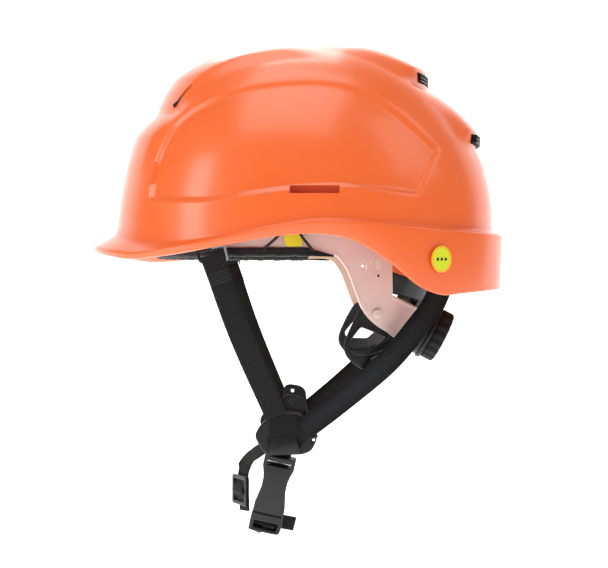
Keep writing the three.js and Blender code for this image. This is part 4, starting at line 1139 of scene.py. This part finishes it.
def shell_inside(azimuth, height):
    reach = oval(azimuth, DOME_FRONT, DOME_REAR, DOME_SIDE)
    return dome_point(azimuth, math.atan2(height - SHELL_Z, reach), SHELL_WALL)


def wall_place(azimuth):
    place = shell_inside(azimuth, CLIP_Z)
    along = shell_inside(azimuth + 0.06, CLIP_Z) - shell_inside(azimuth - 0.06, CLIP_Z)
    inward = Vector((-along.y, along.x, 0)).normalized()
    place.z = 0
    return place, -inward if inward.dot(place) > 0 else inward


def clip_place(azimuth, towards):
    place, inward = wall_place(azimuth)
    far, _ = wall_place(towards)
    slant = (far - place).angle(inward)
    clear = GAP + CROWN_STRAP_THICK / 2 + CLIP_WIDTH / 2 * math.tan(slant)
    place += inward * (CLIP_FRONT + clear)
    return Vector((place.x, place.y, CLIP_Z))


def crown_route(start, end, lift, steps=60):
    a, b = clip_place(radians(start), radians(end)), clip_place(radians(end), radians(start))
    middle, half = (a + b) / 2, (a - b) / 2
    power = 2 / 2.4
    line = []
    for k in range(steps + 1):
        angle = pi * k / steps
        p = middle + half * math.copysign(abs(cos(angle)) ** power, cos(angle))
        line.append(Vector((p.x, p.y, CLIP_Z + (CROWN_HEIGHT + lift - CLIP_Z) * sin(angle) ** power)))
    along = half.normalized()
    return line, Vector((-along.y, along.x, 0))


# The lighter colour here is a painted glint on the raised yarns.
CROWN_WEB = woven("crown strap webbing", (0.006, 0.006, 0.007), (0.06, 0.06, 0.065), 0.0015, 0.0010, 0.5)
lift = CROWN_STRAP_THICK + 2
crown_runs = (
    ("left", FRONT_CLIP, -REAR_CLIP, lift),
    ("right", -FRONT_CLIP, REAR_CLIP, 2 * lift),
    ("middle", SIDE_CLIP, -SIDE_CLIP, 0),
)
for name, start, end, rise in crown_runs:
    line, across = crown_route(start, end, rise)
    add_web("crown_web_" + name, "crown_strap_" + name, material=CROWN_WEB, points=line,
            lean=lambda u, across=across: across, width=CROWN_STRAP_WIDTH, thick=CROWN_STRAP_THICK, rib=2.4,
            depth=0.05)

# ---- low-friction liner ----
# A thin satin yellow plastic cap under the straps, with a tab that shows at each temple. It can turn a little
# on the head, so it rides on a body of its own.
LINER_HALF = (BAND_SIDE - 4, BAND_FRONT - 6, 63)
LINER_BASE = 20
LINER_EDGE = 32
LINER_THICK = 0.9
TAB_Y = -4
TAB_WIDTH = 12


def liner_mesh():
    power = 2 / 2.4
    low = math.asin(((LINER_EDGE - LINER_BASE) / LINER_HALF[2]) ** (1 / power))

    def shell_point(turn, tilt, grow):
        reach = abs(cos(tilt)) ** power if cos(tilt) > 1e-6 else 0
        flat = oval(turn, LINER_HALF[1] + grow, LINER_HALF[1] + grow, LINER_HALF[0] + grow, 2.2)
        return Vector((reach * flat * sin(turn), 4 + reach * flat * cos(turn),
                       LINER_BASE + (LINER_HALF[2] + grow) * sin(tilt) ** power))

    rows = [lerp(pi / 2, low, k / 36) for k in range(37)]
    sections = []
    for i in range(180):
        turn = 2 * pi * i / 180
        outside = [shell_point(turn, t, 0) for t in rows]
        inside = [shell_point(turn, t, -LINER_THICK) for t in rows]
        sections.append(outside + inside[::-1])
    return lathe("liner", sections)


def liner_tab(side):
    outer = BAND_SIDE + GAP + 0.55
    route_points = [(LINER_HALF[0] - 5, LINER_EDGE + 6.5), (LINER_HALF[0], LINER_EDGE - 2.5), (BAND_SIDE + 0.9, 25.4),
                    (outer + 1.2, 22.6), (outer + 1.2, 6), (outer + 1.2, -6.8)]
    line, _ = route([(x, 0, z) for x, z in route_points], 40, 0.4)

    def place(u, v, w):
        k = min(round(u * 40), 40)
        tangent = (line[min(k + 1, 40)] - line[max(k - 1, 0)]).normalized()
        out = Vector((tangent.z, 0, -tangent.x))
        trim = 1 - 0.25 * ease(0.93, 1, u)
        p = line[k] + out * (0.5 - w) * -1.0
        return Vector((side * p.x, TAB_Y + (v - 0.5) * TAB_WIDTH * trim, p.z))

    return slab(40, 6, place)


YELLOW = moulded("satin yellow liner", (0.86, 0.74, 0.02), (0.78, 0.64, 0.014), 0.45, 350, 0.2, 0.05)
liner = piece("low_friction_cap", liner_mesh(), YELLOW)
facing_out(liner.data)
liner.data.set_sharp_from_angle(angle=radians(40))
tabs = piece("liner_tabs", mesh_of("tabs", *join_solids([liner_tab(1), liner_tab(-1)])), YELLOW, 40)
facing_out(tabs.data)
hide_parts("low_friction_liner")
for part in (liner, tabs):
    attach(part, "liner")

# ---- side slings ----
# A thin braided textile cord slung from each side of the shell to the hem of the sweatband. It is fixed at
# both ends.
SLING_RADIUS = 0.9


def tube(name, line, radius, sides=12, twist=0.0, lobes=0, depth=0.0):
    """A closed round tube along points, with an optional braid-like relief."""
    verts, faces, chart = [], [], []
    up = Vector((0.3, 0.2, 1))
    travelled = 0
    for k, p in enumerate(line):
        tangent = (line[min(k + 1, len(line) - 1)] - line[max(k - 1, 0)]).normalized()
        side = (up - tangent * up.dot(tangent)).normalized()
        out = tangent.cross(side)
        if k:
            travelled += (p - line[k - 1]).length
        for j in range(sides):
            a = 2 * pi * j / sides
            r = radius * (1 + depth * sin(lobes * a + travelled * twist))
            verts.append(p + side * r * cos(a) + out * r * sin(a))
            chart.append((travelled * MM, j / sides * 0.006))
    for k in range(len(line) - 1):
        for j in range(sides):
            a, b = k * sides + j, k * sides + (j + 1) % sides
            faces.append((a, b, b + sides, a + sides))
    faces.append(tuple(range(sides)))
    faces.append(tuple((len(line) - 1) * sides + j for j in reversed(range(sides))))
    mesh = mesh_of(name, verts, faces)
    layer = mesh.uv_layers.new(name="length and width")
    for loop in mesh.loops:
        layer.data[loop.index].uv = chart[loop.vertex_index]
    facing_out(mesh)
    return mesh


def on_hem(y):
    return band_x(y) + HEM_THICK + 2 * GAP + SLING_RADIUS


sling_top = DOME_SIDE - SHELL_WALL - GAP - SLING_RADIUS - 0.4
sling_middle = (on_hem(0) + sling_top) / 2
sling_points = [(on_hem(-23), -23, -8.5), (sling_middle, -12, 1.5), (sling_top, -6, 12), (sling_top, -4, 12),
                (sling_middle, 0, 1.5), (on_hem(8.5), 8.5, -9.5)]
for word, side in SIDES:
    line, _ = route([(x * side, y, z) for x, y, z in sling_points], 90)
    sling = piece("sling_cord_" + word, tube("sling", line, SLING_RADIUS, 16, 2.4, 4, 0.07), CROWN_WEB, 60)
    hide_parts("side_sling_" + word)
    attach(sling, "root")

# ---- flat moulded plates ----
# The hooks, hangers, dividers, cam locks and slider are small acetal mouldings with rounded edges. Their
# slots hold the webbing. The front hooks and the rear hangers are made here.


def filleted(loop, radius, steps=5):
    """A closed outline with each corner rounded."""
    line = []
    for k, corner in enumerate(loop):
        corner = Vector(corner)
        before, after = Vector(loop[k - 1]) - corner, Vector(loop[(k + 1) % len(loop)]) - corner
        a = before.normalized() * min(radius, before.length * 0.48)
        b = after.normalized() * min(radius, after.length * 0.48)
        line += [corner + a * (1 - t / steps) ** 2 + b * (t / steps) ** 2 for t in range(steps + 1)]
    return line


def cutout(name, outline, holes, thick, edge, place, radius=2.0, hole_radius=1.0, pitch=2.5):
    """A plate with rounded edges; place(a, b, t) sets its points, t from 0 to 1 through the thickness."""
    curve = bpy.data.curves.new(name, "CURVE")
    curve.dimensions = "2D"
    curve.fill_mode = "BOTH"
    curve.extrude = (thick / 2 - edge) * MM
    curve.bevel_depth = edge * MM
    curve.bevel_resolution = 2
    curve.offset = -edge * MM
    for loop, corner in [(outline, radius)] + [(hole, hole_radius) for hole in holes]:
        points = filleted(loop, corner)
        spline = curve.splines.new("POLY")
        spline.points.add(len(points) - 1)
        spline.use_cyclic_u = True
        for point, (a, b) in zip(spline.points, points):
            point.co = (a * MM, b * MM, 0, 1)
    holder = bpy.data.objects.new(name, curve)
    scene.collection.objects.link(holder)
    graph = bpy.context.evaluated_depsgraph_get()
    mesh = bpy.data.meshes.new_from_object(holder.evaluated_get(graph))
    bpy.data.objects.remove(holder)
    work = bmesh.new()
    work.from_mesh(mesh)
    bmesh.ops.remove_doubles(work, verts=work.verts, dist=2e-6)
    for axis in (0, 1):
        places = [v.co[axis] for v in work.verts]
        at = min(places) + pitch * MM
        while at < max(places):
            normal = Vector((1, 0, 0)) if axis == 0 else Vector((0, 1, 0))
            everything = work.verts[:] + work.edges[:] + work.faces[:]
            bmesh.ops.bisect_plane(work, geom=everything, plane_co=normal * at, plane_no=normal)
            at += pitch * MM
    for v in work.verts:
        v.co = place(v.co.x / MM, v.co.y / MM, v.co.z / (thick * MM) + 0.5) * MM
    work.to_mesh(mesh)
    work.free()
    facing_out(mesh)
    return mesh


ACETAL = moulded("satin black acetal", (0.013, 0.013, 0.015), (0.007, 0.007, 0.008), 0.34, 520, 0.5, 0.12,
                 Specular_IOR_Level=0.38)
# This pale grey is a painted highlight for the strip along each hook's edge and top.
EDGE_HIGHLIGHT_GREY = moulded("pale grey painted edge highlight", (0.30, 0.38, 0.40), (0.24, 0.31, 0.33), 0.4, 420, 0.3, 0.08)
hook_turn = Matrix.Rotation(radians(12), 3, "X")
for word, side in SIDES:
    def on_hook(a, b, t, side=side, low=-1.5, high=1.5):
        p = hook_turn @ Vector((lerp(low, high, t), a, b)) + HOOK
        return Vector((p.x * side, p.y, p.z))

    eye = WEB_WIDTH / 2 + GAP
    half = eye + 1.7
    outline = [(-half, 16), (half, 16), (half, -3), (half - 1.5, -5.5), (1.5 - half, -5.5), (-half, -3)]
    window = [(-eye, -1.4), (-eye, 1.6), (eye, 1.6), (eye, -1.4)]
    body = piece("hook_body_" + word, cutout("hook", outline, [window], 3, 0.6, on_hook), BLACK, 40)
    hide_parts("front_strap_hook_" + word)
    # A thin pale grey L along the hook's edge and top: a painted edge highlight.
    highlight_outline = [(half - 2.4, 3.6), (half + 0.2, 3.6), (half + 0.2, -6.4), (half - 1.0, -7.2), (half - 1.4, 2.2),
                   (half - 9, 2.4), (half - 9, 3.4)]
    highlight_strip = piece("hook_edge_highlight_" + word,
                cutout("highlight_strip", highlight_outline, [], 1.2, 0.3, lambda a, b, t, put=on_hook: put(a, b, t, low=1.4, high=2.7),
                       radius=0.6), EDGE_HIGHLIGHT_GREY, 40)
    for part in (body, highlight_strip):
        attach(part, "root")

HANGER_THICK = 2.4
hanger_outline = [(47, -43), (40, -45.5), (34, -56), (29.5, -66), (28, -72), (30, -78), (36.5, -84), (43, -87),
                  (52, -85), (59, -79), (65, -71), (67, -64), (60, -57), (52, -49)]
hanger_window = [(33, -67), (39.6, -58.6), (56, -65.4), (49.5, -71), (35, -70.8)]
hanger_slot = [(46, -79.5), (56, -75.2), (58, -78.5), (48, -83.2)]
for word, side in SIDES:
    def on_band(a, b, t, side=side, low=-HANGER_THICK, high=0.0):
        return Vector((side * (band_x(a) - BAND_WALL - GAP - 0.4 + lerp(low, high, t)), a, b))

    plate = cutout("hanger", hanger_outline, [hanger_window, hanger_slot], HANGER_THICK, 0.8, on_band, 4, 1.6)
    hanger = piece("hanger_plate_" + word, plate, ACETAL, 40)
    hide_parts("strap_hanger_" + word)
    welt_outer = [(39.8, -56.2), (58, -64), (58.4, -66.2), (50, -72.8), (34, -72.6), (31.2, -67)]
    welt = cutout("welt", welt_outer, [hanger_window], 1.6, 0.5,
                  lambda a, b, t, put=on_band: put(a, b, t, low=-0.4, high=1.0), 2.4, 1.6)
    welt = piece("hanger_welt_" + word, welt, ACETAL, 40)
    fold_outline = [(31.5, -72.5), (40, -73.2), (53, -70.4), (62.5, -66.4), (64, -68), (56, -73.5), (44, -77.4),
                    (35, -77)]
    fold = cutout("fold", fold_outline, [], 1.8, 0.8,
                  lambda a, b, t, put=on_band: put(a, b, t, low=-0.4, high=1.3), 2.2)
    fold = piece("hanger_fold_" + word, fold, ACETAL, 50)
    for part in (hanger, welt, fold):
        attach(part, "root")
    # The rivet heads carry the same painted pink reflection.
    refined("hanger_rivet_" + word, "rivet_head_" + word, PALE_PAINTED_CAST, 0.5)

# ---- nape adjuster ----
# A curved nylon cradle behind the head carries a soft pad and a ratchet. Turning the knob winds two toothed
# racks past each other on a small pinion, which draws the headband's ends together.
NAPE_TURN = Matrix.Rotation(radians(-27.1), 3, "X")
NAPE_PLACE = Vector((0, 100.5, -69))
RACK_RADIUS = 77
NAPE_CENTRE = -21.5 - RACK_RADIUS
CRADLE_THICK = 1.8
CRADLE_OUT = RACK_RADIUS - GAP
CRADLE_IN = CRADLE_OUT - CRADLE_THICK
CRADLE_END = RACK_RADIUS * math.asin((band_x(76) - BAND_WALL - 4) / CRADLE_OUT)


def in_nape(x, y, z):
    return NAPE_TURN @ Vector((x, y, z)) + NAPE_PLACE


def round_nape(arc, radius, height):
    return in_nape(radius * sin(arc / RACK_RADIUS), NAPE_CENTRE + radius * cos(arc / RACK_RADIUS), height)


def declare(obj, slot, *nodes, body="root"):
    if nodes:
        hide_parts(*nodes)
    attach(obj, body)
    return obj


def cradle_place(u, v, w):
    share = lerp(-1, 1, u)
    low = through([[-1, -10], [-0.77, -16], [0, -18], [0.77, -16], [1, -10]])(share)
    high = through([[-1, 26], [-0.77, 27], [0, 20], [0.77, 27], [1, 26]])(share)
    return round_nape(share * CRADLE_END, lerp(CRADLE_IN, CRADLE_OUT, w), lerp(low, high, v))


cradle = piece("cradle_shell", mesh_of("cradle", *slab(96, 16, cradle_place)), BLACK)
facing_out(cradle.data)
edged(cradle, 0.5)
declare(cradle, "black_nylon", "nape_cradle")


def pad_place(u, v, w):
    """The pad rests flat on the cradle and crowns towards the head, with two sewn channels."""
    a, b = 2 * u - 1, 2 * v - 1
    pull = 1 - 0.06 * a * a * b * b
    crown = max(0.0, 1 - abs(a) ** 5) ** 0.45 * max(0.0, 1 - abs(b) ** 4) ** 0.45
    channel = 1 - 0.38 * sum(math.exp(-((a - c) / 0.035) ** 2) for c in (-0.36, 0.36))
    depth = 0.25 + 5.7 * crown * channel
    outer = CRADLE_IN - GAP
    return round_nape(34 * a * pull, outer - depth * (1 - w), 1 + 15 * b * pull)


pad = piece("nape_cushion", mesh_of("pad", *slab(120, 48, pad_place)), KNIT, 70)
facing_out(pad.data)
declare(pad, "nape_foam", "nape_pad")
channels = [[round_nape(34 * c, CRADLE_IN - GAP - 3.7, 1 + 15 * b / 10) for b in range(-8, 9)] for c in (-0.36, 0.36)]
declare(sewn("cushion_stitches", channels, THREAD, pitch=2.4, stitch=1.1, thread=0.26), "nape_foam")

ARM_WIDTH = 12
ARM_THICK = 2
upright = NAPE_TURN @ Vector((0, 0, 1))
arm_points = [round_nape(CRADLE_END - back, RACK_RADIUS + ARM_THICK / 2, 20) for back in (10, 2)]
for y, clear, z in ((69, 0.85, -32), (60.5, 1.6, -29.3), (55, 1.9, -27.6)):
    arm_points.append(Vector((band_x(y) - BAND_WALL - ARM_THICK / 2 - clear, y, z)))
arm_line, _ = route(arm_points, 60)
for word, side in SIDES:
    def arm_place(u, v, w, side=side):
        k = round(u * 60)
        tangent = (arm_line[min(k + 1, 60)] - arm_line[max(k - 1, 0)]).normalized()
        across = (upright - tangent * upright.dot(tangent)).normalized()
        tip = max(0.0, (u - 0.88) / 0.12)
        half = ARM_WIDTH * 0.5 * max(0.3, (1 - tip * tip) ** 0.5)
        p = arm_line[k] + across * half * (2 * v - 1) + tangent.cross(across) * ARM_THICK * (w - 0.5)
        return Vector((p.x * side, p.y, p.z))

    arm = piece("nape_stay_" + word, mesh_of("arm", *slab(60, 6, arm_place)), BLACK)
    facing_out(arm.data)
    edged(arm, 0.45)
    declare(arm, "black_nylon", "nape_arm_" + word)
    refined("rack_" + word, "toothed_rack_" + word, BLACK, 0.06,
            body="rack_l" if word == "left" else "rack_r")

refined("ratchet_housing", "ratchet_drum", BLACK, 0.6)
refined("ratchet_cover", "ratchet_back", BLACK, 0.45)
STEEL = moulded("spring steel", (0.42, 0.42, 0.43), (0.36, 0.36, 0.37), 0.28, 600, 0.4, 0.1, Metallic=1.0)
refined("detent_spring", "detent_leaf", STEEL, 0.1)
refined("knob_spindle", "knob_shaft", BLACK, 0.12, body="knob")

# ---- nape knob ----
# A round soft-touch knob with sixteen shallow lobes, a dished face and fine ridges round its rim. It sits on
# the ratchet's shaft and turns with it.
KNOB_RADIUS = 18
KNOB_BACK = -10.15
KNOB_FACE = KNOB_BACK + 9.2
LOBES = 16
RUBBER = moulded("soft black rubber", (0.016, 0.016, 0.018), (0.009, 0.009, 0.010), 0.62, 900, 0.4, 0.3,
                 Specular_IOR_Level=0.25)


def knob_mesh():
    profile = [(0, -2.85, 0), (3.35, -2.85, 0), (3.35, -9.2, 0), (14, -9.2, 0), (-1.2, -9.2, 1), (-0.35, -8.9, 1),
               (0, -8.1, 1), (0, -1.5, 1), (-0.3, -0.7, 1), (-1.0, -0.15, 1), (-2.0, 0, 1), (14.6, 0, 0),
               (14.1, -0.3, 0), (13.8, -1.2, 0), (9, -1.35, 0), (4, -1.1, 0), (0, -1.0, 0)]
    sections = []
    for i in range(LOBES * 12):
        angle = 2 * pi * i / (LOBES * 12)
        rim = KNOB_RADIUS - 1.1 * (0.5 - 0.5 * cos(angle * LOBES)) ** 2
        sections.append([in_nape((rim * lobed + r) * cos(angle), KNOB_FACE + y, (rim * lobed + r) * sin(angle))
                         for r, y, lobed in profile])
    return lathe("knob", sections)


knob = piece("ratchet_knob", knob_mesh(), RUBBER, 50)
facing_out(knob.data)
declare(knob, "knob_rubber", "nape_knob", body="knob")


def ridge_tree():
    """Round bars standing on a circle: the fine ridges of a grip."""
    tree = bpy.data.node_groups.new("grip ridges", "GeometryNodeTree")
    tree.interface.new_socket("Geometry", in_out="INPUT", socket_type="NodeSocketGeometry")
    for name, kind in (("Count", "Int"), ("Radius", "Float"), ("Bar Radius", "Float"), ("Length", "Float"),
                       ("Material", "Material")):
        tree.interface.new_socket(name, in_out="INPUT", socket_type="NodeSocket" + kind)
    tree.interface.new_socket("Geometry", in_out="OUTPUT", socket_type="NodeSocketGeometry")
    n, link = tree.nodes, tree.links.new
    ins, outs = n.new("NodeGroupInput"), n.new("NodeGroupOutput")
    ring, bar = n.new("GeometryNodeMeshCircle"), n.new("GeometryNodeMeshCylinder")
    bar.inputs["Vertices"].default_value = 8
    spread, real, paint = (n.new("GeometryNode" + t) for t in ("InstanceOnPoints", "RealizeInstances", "SetMaterial"))
    link(ins.outputs["Count"], ring.inputs["Vertices"])
    link(ins.outputs["Radius"], ring.inputs["Radius"])
    link(ins.outputs["Bar Radius"], bar.inputs["Radius"])
    link(ins.outputs["Length"], bar.inputs["Depth"])
    link(ring.outputs["Mesh"], spread.inputs["Points"])
    link(bar.outputs["Mesh"], spread.inputs["Instance"])
    link(spread.outputs["Instances"], real.inputs["Geometry"])
    link(real.outputs["Geometry"], paint.inputs["Geometry"])
    link(ins.outputs["Material"], paint.inputs["Material"])
    link(paint.outputs["Geometry"], outs.inputs["Geometry"])
    return tree


ridges = piece("knob_ridges", bpy.data.meshes.new("ridges"), None)
step = ridges.modifiers.new("grip ridges", "NODES")
step.node_group = ridge_tree()
named = {item.name: item.identifier for item in step.node_group.interface.items_tree if item.in_out == "INPUT"}
for socket, value in (("Count", LOBES * 4), ("Radius", 0.01705), ("Bar Radius", 0.00042), ("Length", 0.0058),
                      ("Material", RUBBER)):
    step[named[socket]] = value
apply_modifiers(ridges)
for v in ridges.data.vertices:
    v.co = in_nape(v.co.x / MM, KNOB_BACK + 4.6 + v.co.z / MM, v.co.y / MM) * MM
facing_out(ridges.data)
declare(ridges, "knob_rubber", body="knob")

# ---- side dividers ----
# A moulded acetal plate at each side joins the front and rear straps. Its hinged cam lever clamps the webbing
# and swings open on its own joint.
DIVIDER_X = 51
DIVIDER_THICK = 3.6
divider_outline = [(-30, -131), (-27, -125), (-20, -118), (-11, -114.5), (0, -115), (5, -120), (12, -132),
                   (8, -141), (2, -143.5), (-22, -144), (-26, -139)]
divider_bar = [(-18, -121), (-9, -118), (-3, -119), (-1, -123.5), (-19, -127)]
divider_window = [(-21, -131.5), (0, -127.5), (4, -131), (0, -138), (-18, -138.5)]
divider_rim = [(-21, -117.4), (-11, -113.9), (0, -114.4), (5.6, -119.6), (12.4, -131.6), (10.2, -132.6),
               (3.6, -120.8), (-1, -117), (-11, -116.6), (-20, -119.8)]


def square(y, z, half):
    return [(y - half, z - half), (y + half, z - half), (y + half, z + half), (y - half, z + half)]


for word, side in SIDES:
    def on_side(a, b, t, side=side, low=DIVIDER_X - DIVIDER_THICK / 2, high=DIVIDER_X + DIVIDER_THICK / 2):
        return Vector((side * lerp(low, high, t), a, b))

    holes = [divider_bar, divider_window, square(9.2, -133.8, 0.9)]
    plate = piece("divider_plate_" + word,
                  cutout("divider", divider_outline, holes, DIVIDER_THICK, 0.9, on_side, 3, 1.4), ACETAL, 40)
    declare(plate, "black_acetal", "strap_divider_" + word)
    rim = cutout("rim", divider_rim, [], 1.6, 0.7,
                 lambda a, b, t, put=on_side: put(a, b, t, low=52.4, high=53.9), 1)
    declare(piece("divider_rim_" + word, rim, ACETAL, 50), "black_acetal")
    patch = piece("divider_web_" + word, ribbon(
        "patch", [(53.2, -10, -116.5), (54.1, -10.4, -126), (54.0, -11.4, -138.6)], lambda u: (0, 1, 0.05),
        width=19, thick=1.2, side=side), WEBBING)
    declare(patch, "black_webbing")
    tuck = piece("divider_tuck_" + word, ribbon(
        "tuck", [(54.0, 4, -126), (53.0, 0.6, -131), (51.6, -3.6, -137)], lambda u: (0, 0.72, -0.69), width=10,
        thick=1.2, side=side), WEBBING)
    declare(tuck, "black_webbing")
    tab = [(-12, -117.5), (-12.5, -107), (-9, -103.6), (0, -105), (4, -108), (5, -118.5), (-3, -116)]
    tab = cutout("tab", tab, [square(-5.6, -108.7, 1.2)], 2.2, 0.6,
                 lambda a, b, t, put=on_side: put(a, b, t, low=48.9, high=50.9), 3, 1.2)
    declare(piece("divider_tab_" + word, tab, BLACK, 40), "black_acetal")
    refined("cam_lock_" + word, "cam_lever_" + word, ACETAL, 0.6,
            body="cam_l" if word == "left" else "cam_r")

# ---- side-release buckle ----
# An acetal socket and a plug with two squeeze arms, sewn into the chin strap on the wearer's left. The plug
# slides out of the socket.
BUCKLE_THICK = 9
WEB_SLOT = WEB_WIDTH / 2 + 0.5
HALF_BUCKLE = WEB_WIDTH / 2 + 3
SOCKET_LENGTH = 40
PLUG_REACH = 54
BUCKLE_TOP = Vector((45, -12.6, -145.4))
buckle_up = (BUCKLE_TOP - Vector((33, -24.6, -199))).normalized()
buckle_out = (Vector((1, 0, 0)) - buckle_up * buckle_up.x).normalized()
BUCKLE = Matrix((buckle_up.cross(buckle_out), buckle_up, buckle_out)).transposed()


def both_sides(half):
    return half + [(-x, y) for x, y in reversed(half)]


def flat_plate(a, b, t, thick):
    return Vector((a, b, thick * (t - 0.5)))


def oblong(half, low, high):
    return [(-half, low), (half, low), (half, high), (-half, high)]


def set_in_buckle(obj):
    for v in obj.data.vertices:
        v.co = (BUCKLE @ (v.co / MM) + BUCKLE_TOP) * MM


def crown(obj, pitch=1.8, drop=0.16):
    """Gives a buckle piece faces that fall away gently towards its long edges."""
    work = bmesh.new()
    work.from_mesh(obj.data)
    for v in work.verts:
        v.co = BUCKLE.transposed() @ (v.co / MM - BUCKLE_TOP)
    at = -HALF_BUCKLE + pitch
    while at < HALF_BUCKLE:
        everything = work.verts[:] + work.edges[:] + work.faces[:]
        bmesh.ops.bisect_plane(work, geom=everything, plane_co=(at, 0, 0), plane_no=(1, 0, 0))
        at += pitch
    for v in work.verts:
        v.co.z *= 1 - drop * (v.co.x / HALF_BUCKLE) ** 2
        v.co = (BUCKLE @ v.co + BUCKLE_TOP) * MM
    work.to_mesh(obj.data)
    work.free()


def buckle_piece(name, outline, holes):
    mesh = cutout(name, outline, holes, BUCKLE_THICK, 1.3, lambda a, b, t: flat_plate(a, b, t, BUCKLE_THICK), 2.4)
    obj = piece(name, mesh, ACETAL, 40)
    set_in_buckle(obj)
    crown(obj)
    return obj


socket = refined("buckle_socket", "buckle_body", ACETAL, 0.9)
crown(socket)
plug_outline = both_sides([(10.6, -SOCKET_LENGTH - GAP), (11, -48), (10.2, -PLUG_REACH)])
plug = buckle_piece("buckle_foot", plug_outline, [oblong(WEB_SLOT, -51.4, -46.6)])
declare(plug, "black_acetal", "buckle_plug", body="plug")
round_foot = ((-47.7, -5), (-48.2, 0.4), (-49.8, 0.4), (-50.3, -5))
foot_turn = [BUCKLE @ Vector((0, y, z)) + BUCKLE_TOP for y, z in round_foot]
foot_web = ribbon("foot turn", foot_turn, lambda u: BUCKLE @ Vector((1, 0, 0)), width=WEB_WIDTH, thick=1.2)
declare(piece("plug_web_turn", foot_web, WEBBING), "black_webbing", body="plug")
tongue = cutout("tongue", [(-2.4, -SOCKET_LENGTH - 2), (2.4, -SOCKET_LENGTH - 2), (1.9, -14), (-1.9, -14)], [],
                4.4, 0.5, lambda a, b, t: flat_plate(a, b, t, 4.4), 1)
tongue = piece("buckle_tongue", tongue, ACETAL, 40)
set_in_buckle(tongue)
declare(tongue, "black_acetal", body="plug")
for word in ("rear", "front"):
    refined("squeeze_arm_" + word, "release_arm_" + word, ACETAL, 0.5, body="arm_" + word)
# ---- chin webbing and slider ----
# The webbing runs under the chin, through a two-bar slider that sets its length, and round the plug's foot.
# The short loose end moves with the plug.
SLIDER = Matrix.Rotation(radians(90), 3, "X") @ Matrix.Rotation(radians(28), 3, "Y")
SLIDER_PLACE = Vector((22.6, -40.4, -171))
slider_half = WEB_SLOT + 3
slider = cutout("slider", oblong(slider_half, -10, 10), [oblong(WEB_SLOT, -7.4, -2), oblong(WEB_SLOT, 2, 7.4)],
                2.8, 0.6, lambda a, b, t: SLIDER @ Vector((a, b, 2.8 * (t - 0.5))) + SLIDER_PLACE, 2, 0.8)
declare(piece("slider_plate", slider, ACETAL, 40), "black_acetal", "strap_slider", body="slider")


across_slider = SLIDER @ Vector((1, 0, 0))
off_slider = SLIDER @ Vector((0, 0, 1))
if off_slider.x < 0:
    off_slider = -off_slider
turns = [(-8.6, -0.9), (-4.7, 0), (0, 2.3), (4.7, 0), (8.6, -0.9)]
turn_web = ribbon("turn", [SLIDER_PLACE + off_slider * off + Vector((0, 0, rise)) for rise, off in turns],
                  lambda u: across_slider, thick=1.2)
declare(piece("slider_web_turn", turn_web, WEBBING), "black_webbing", body="slider")


def chin_lean(u):
    turned = ease(0.3, 0.8, u)
    return Vector((lerp(0.883, 0.1, turned), lerp(0.469, 0.95, turned), 0))


add_web("chin_web", "chin_strap_upper", lean=chin_lean, tension=0.35, points=[
    (22.3, -37.7, -185), (21.4, -38.1, -171), (20.6, -38.4, -160), (15, -36, -153), (0, -31, -149), (-24, -22, -145),
    (-46.2, -14.2, -141.3)])
add_web("socket_web_loop", "socket_loop", lean=lambda u: Vector((0, 0.97, 0.2)), width=WEB_WIDTH - 1, thick=1.4,
        points=[(47.9, -10.4, -133), (45.6, -11, -138), (38.2, -12.2, -143), (36.5, -13.6, -149)])
add_web("plug_web_loop", "chin_strap_loop", body="plug", lean=lambda u: Vector((0.3, 0.35, 0.89)),
        width=WEB_WIDTH - 1, points=[(27.4, -25.2, -193.4), (26, -30, -191.8), (24.6, -33.6, -190.6)])
add_web("loose_web_end", "chin_strap_end", body="plug", lean=lambda u: buckle_up, width=10, thick=WEB_THICK - 0.4,
        points=[(29.3, -17, -190.8), (29.2, -10, -191.8), (28.4, -3.4, -193.2)])
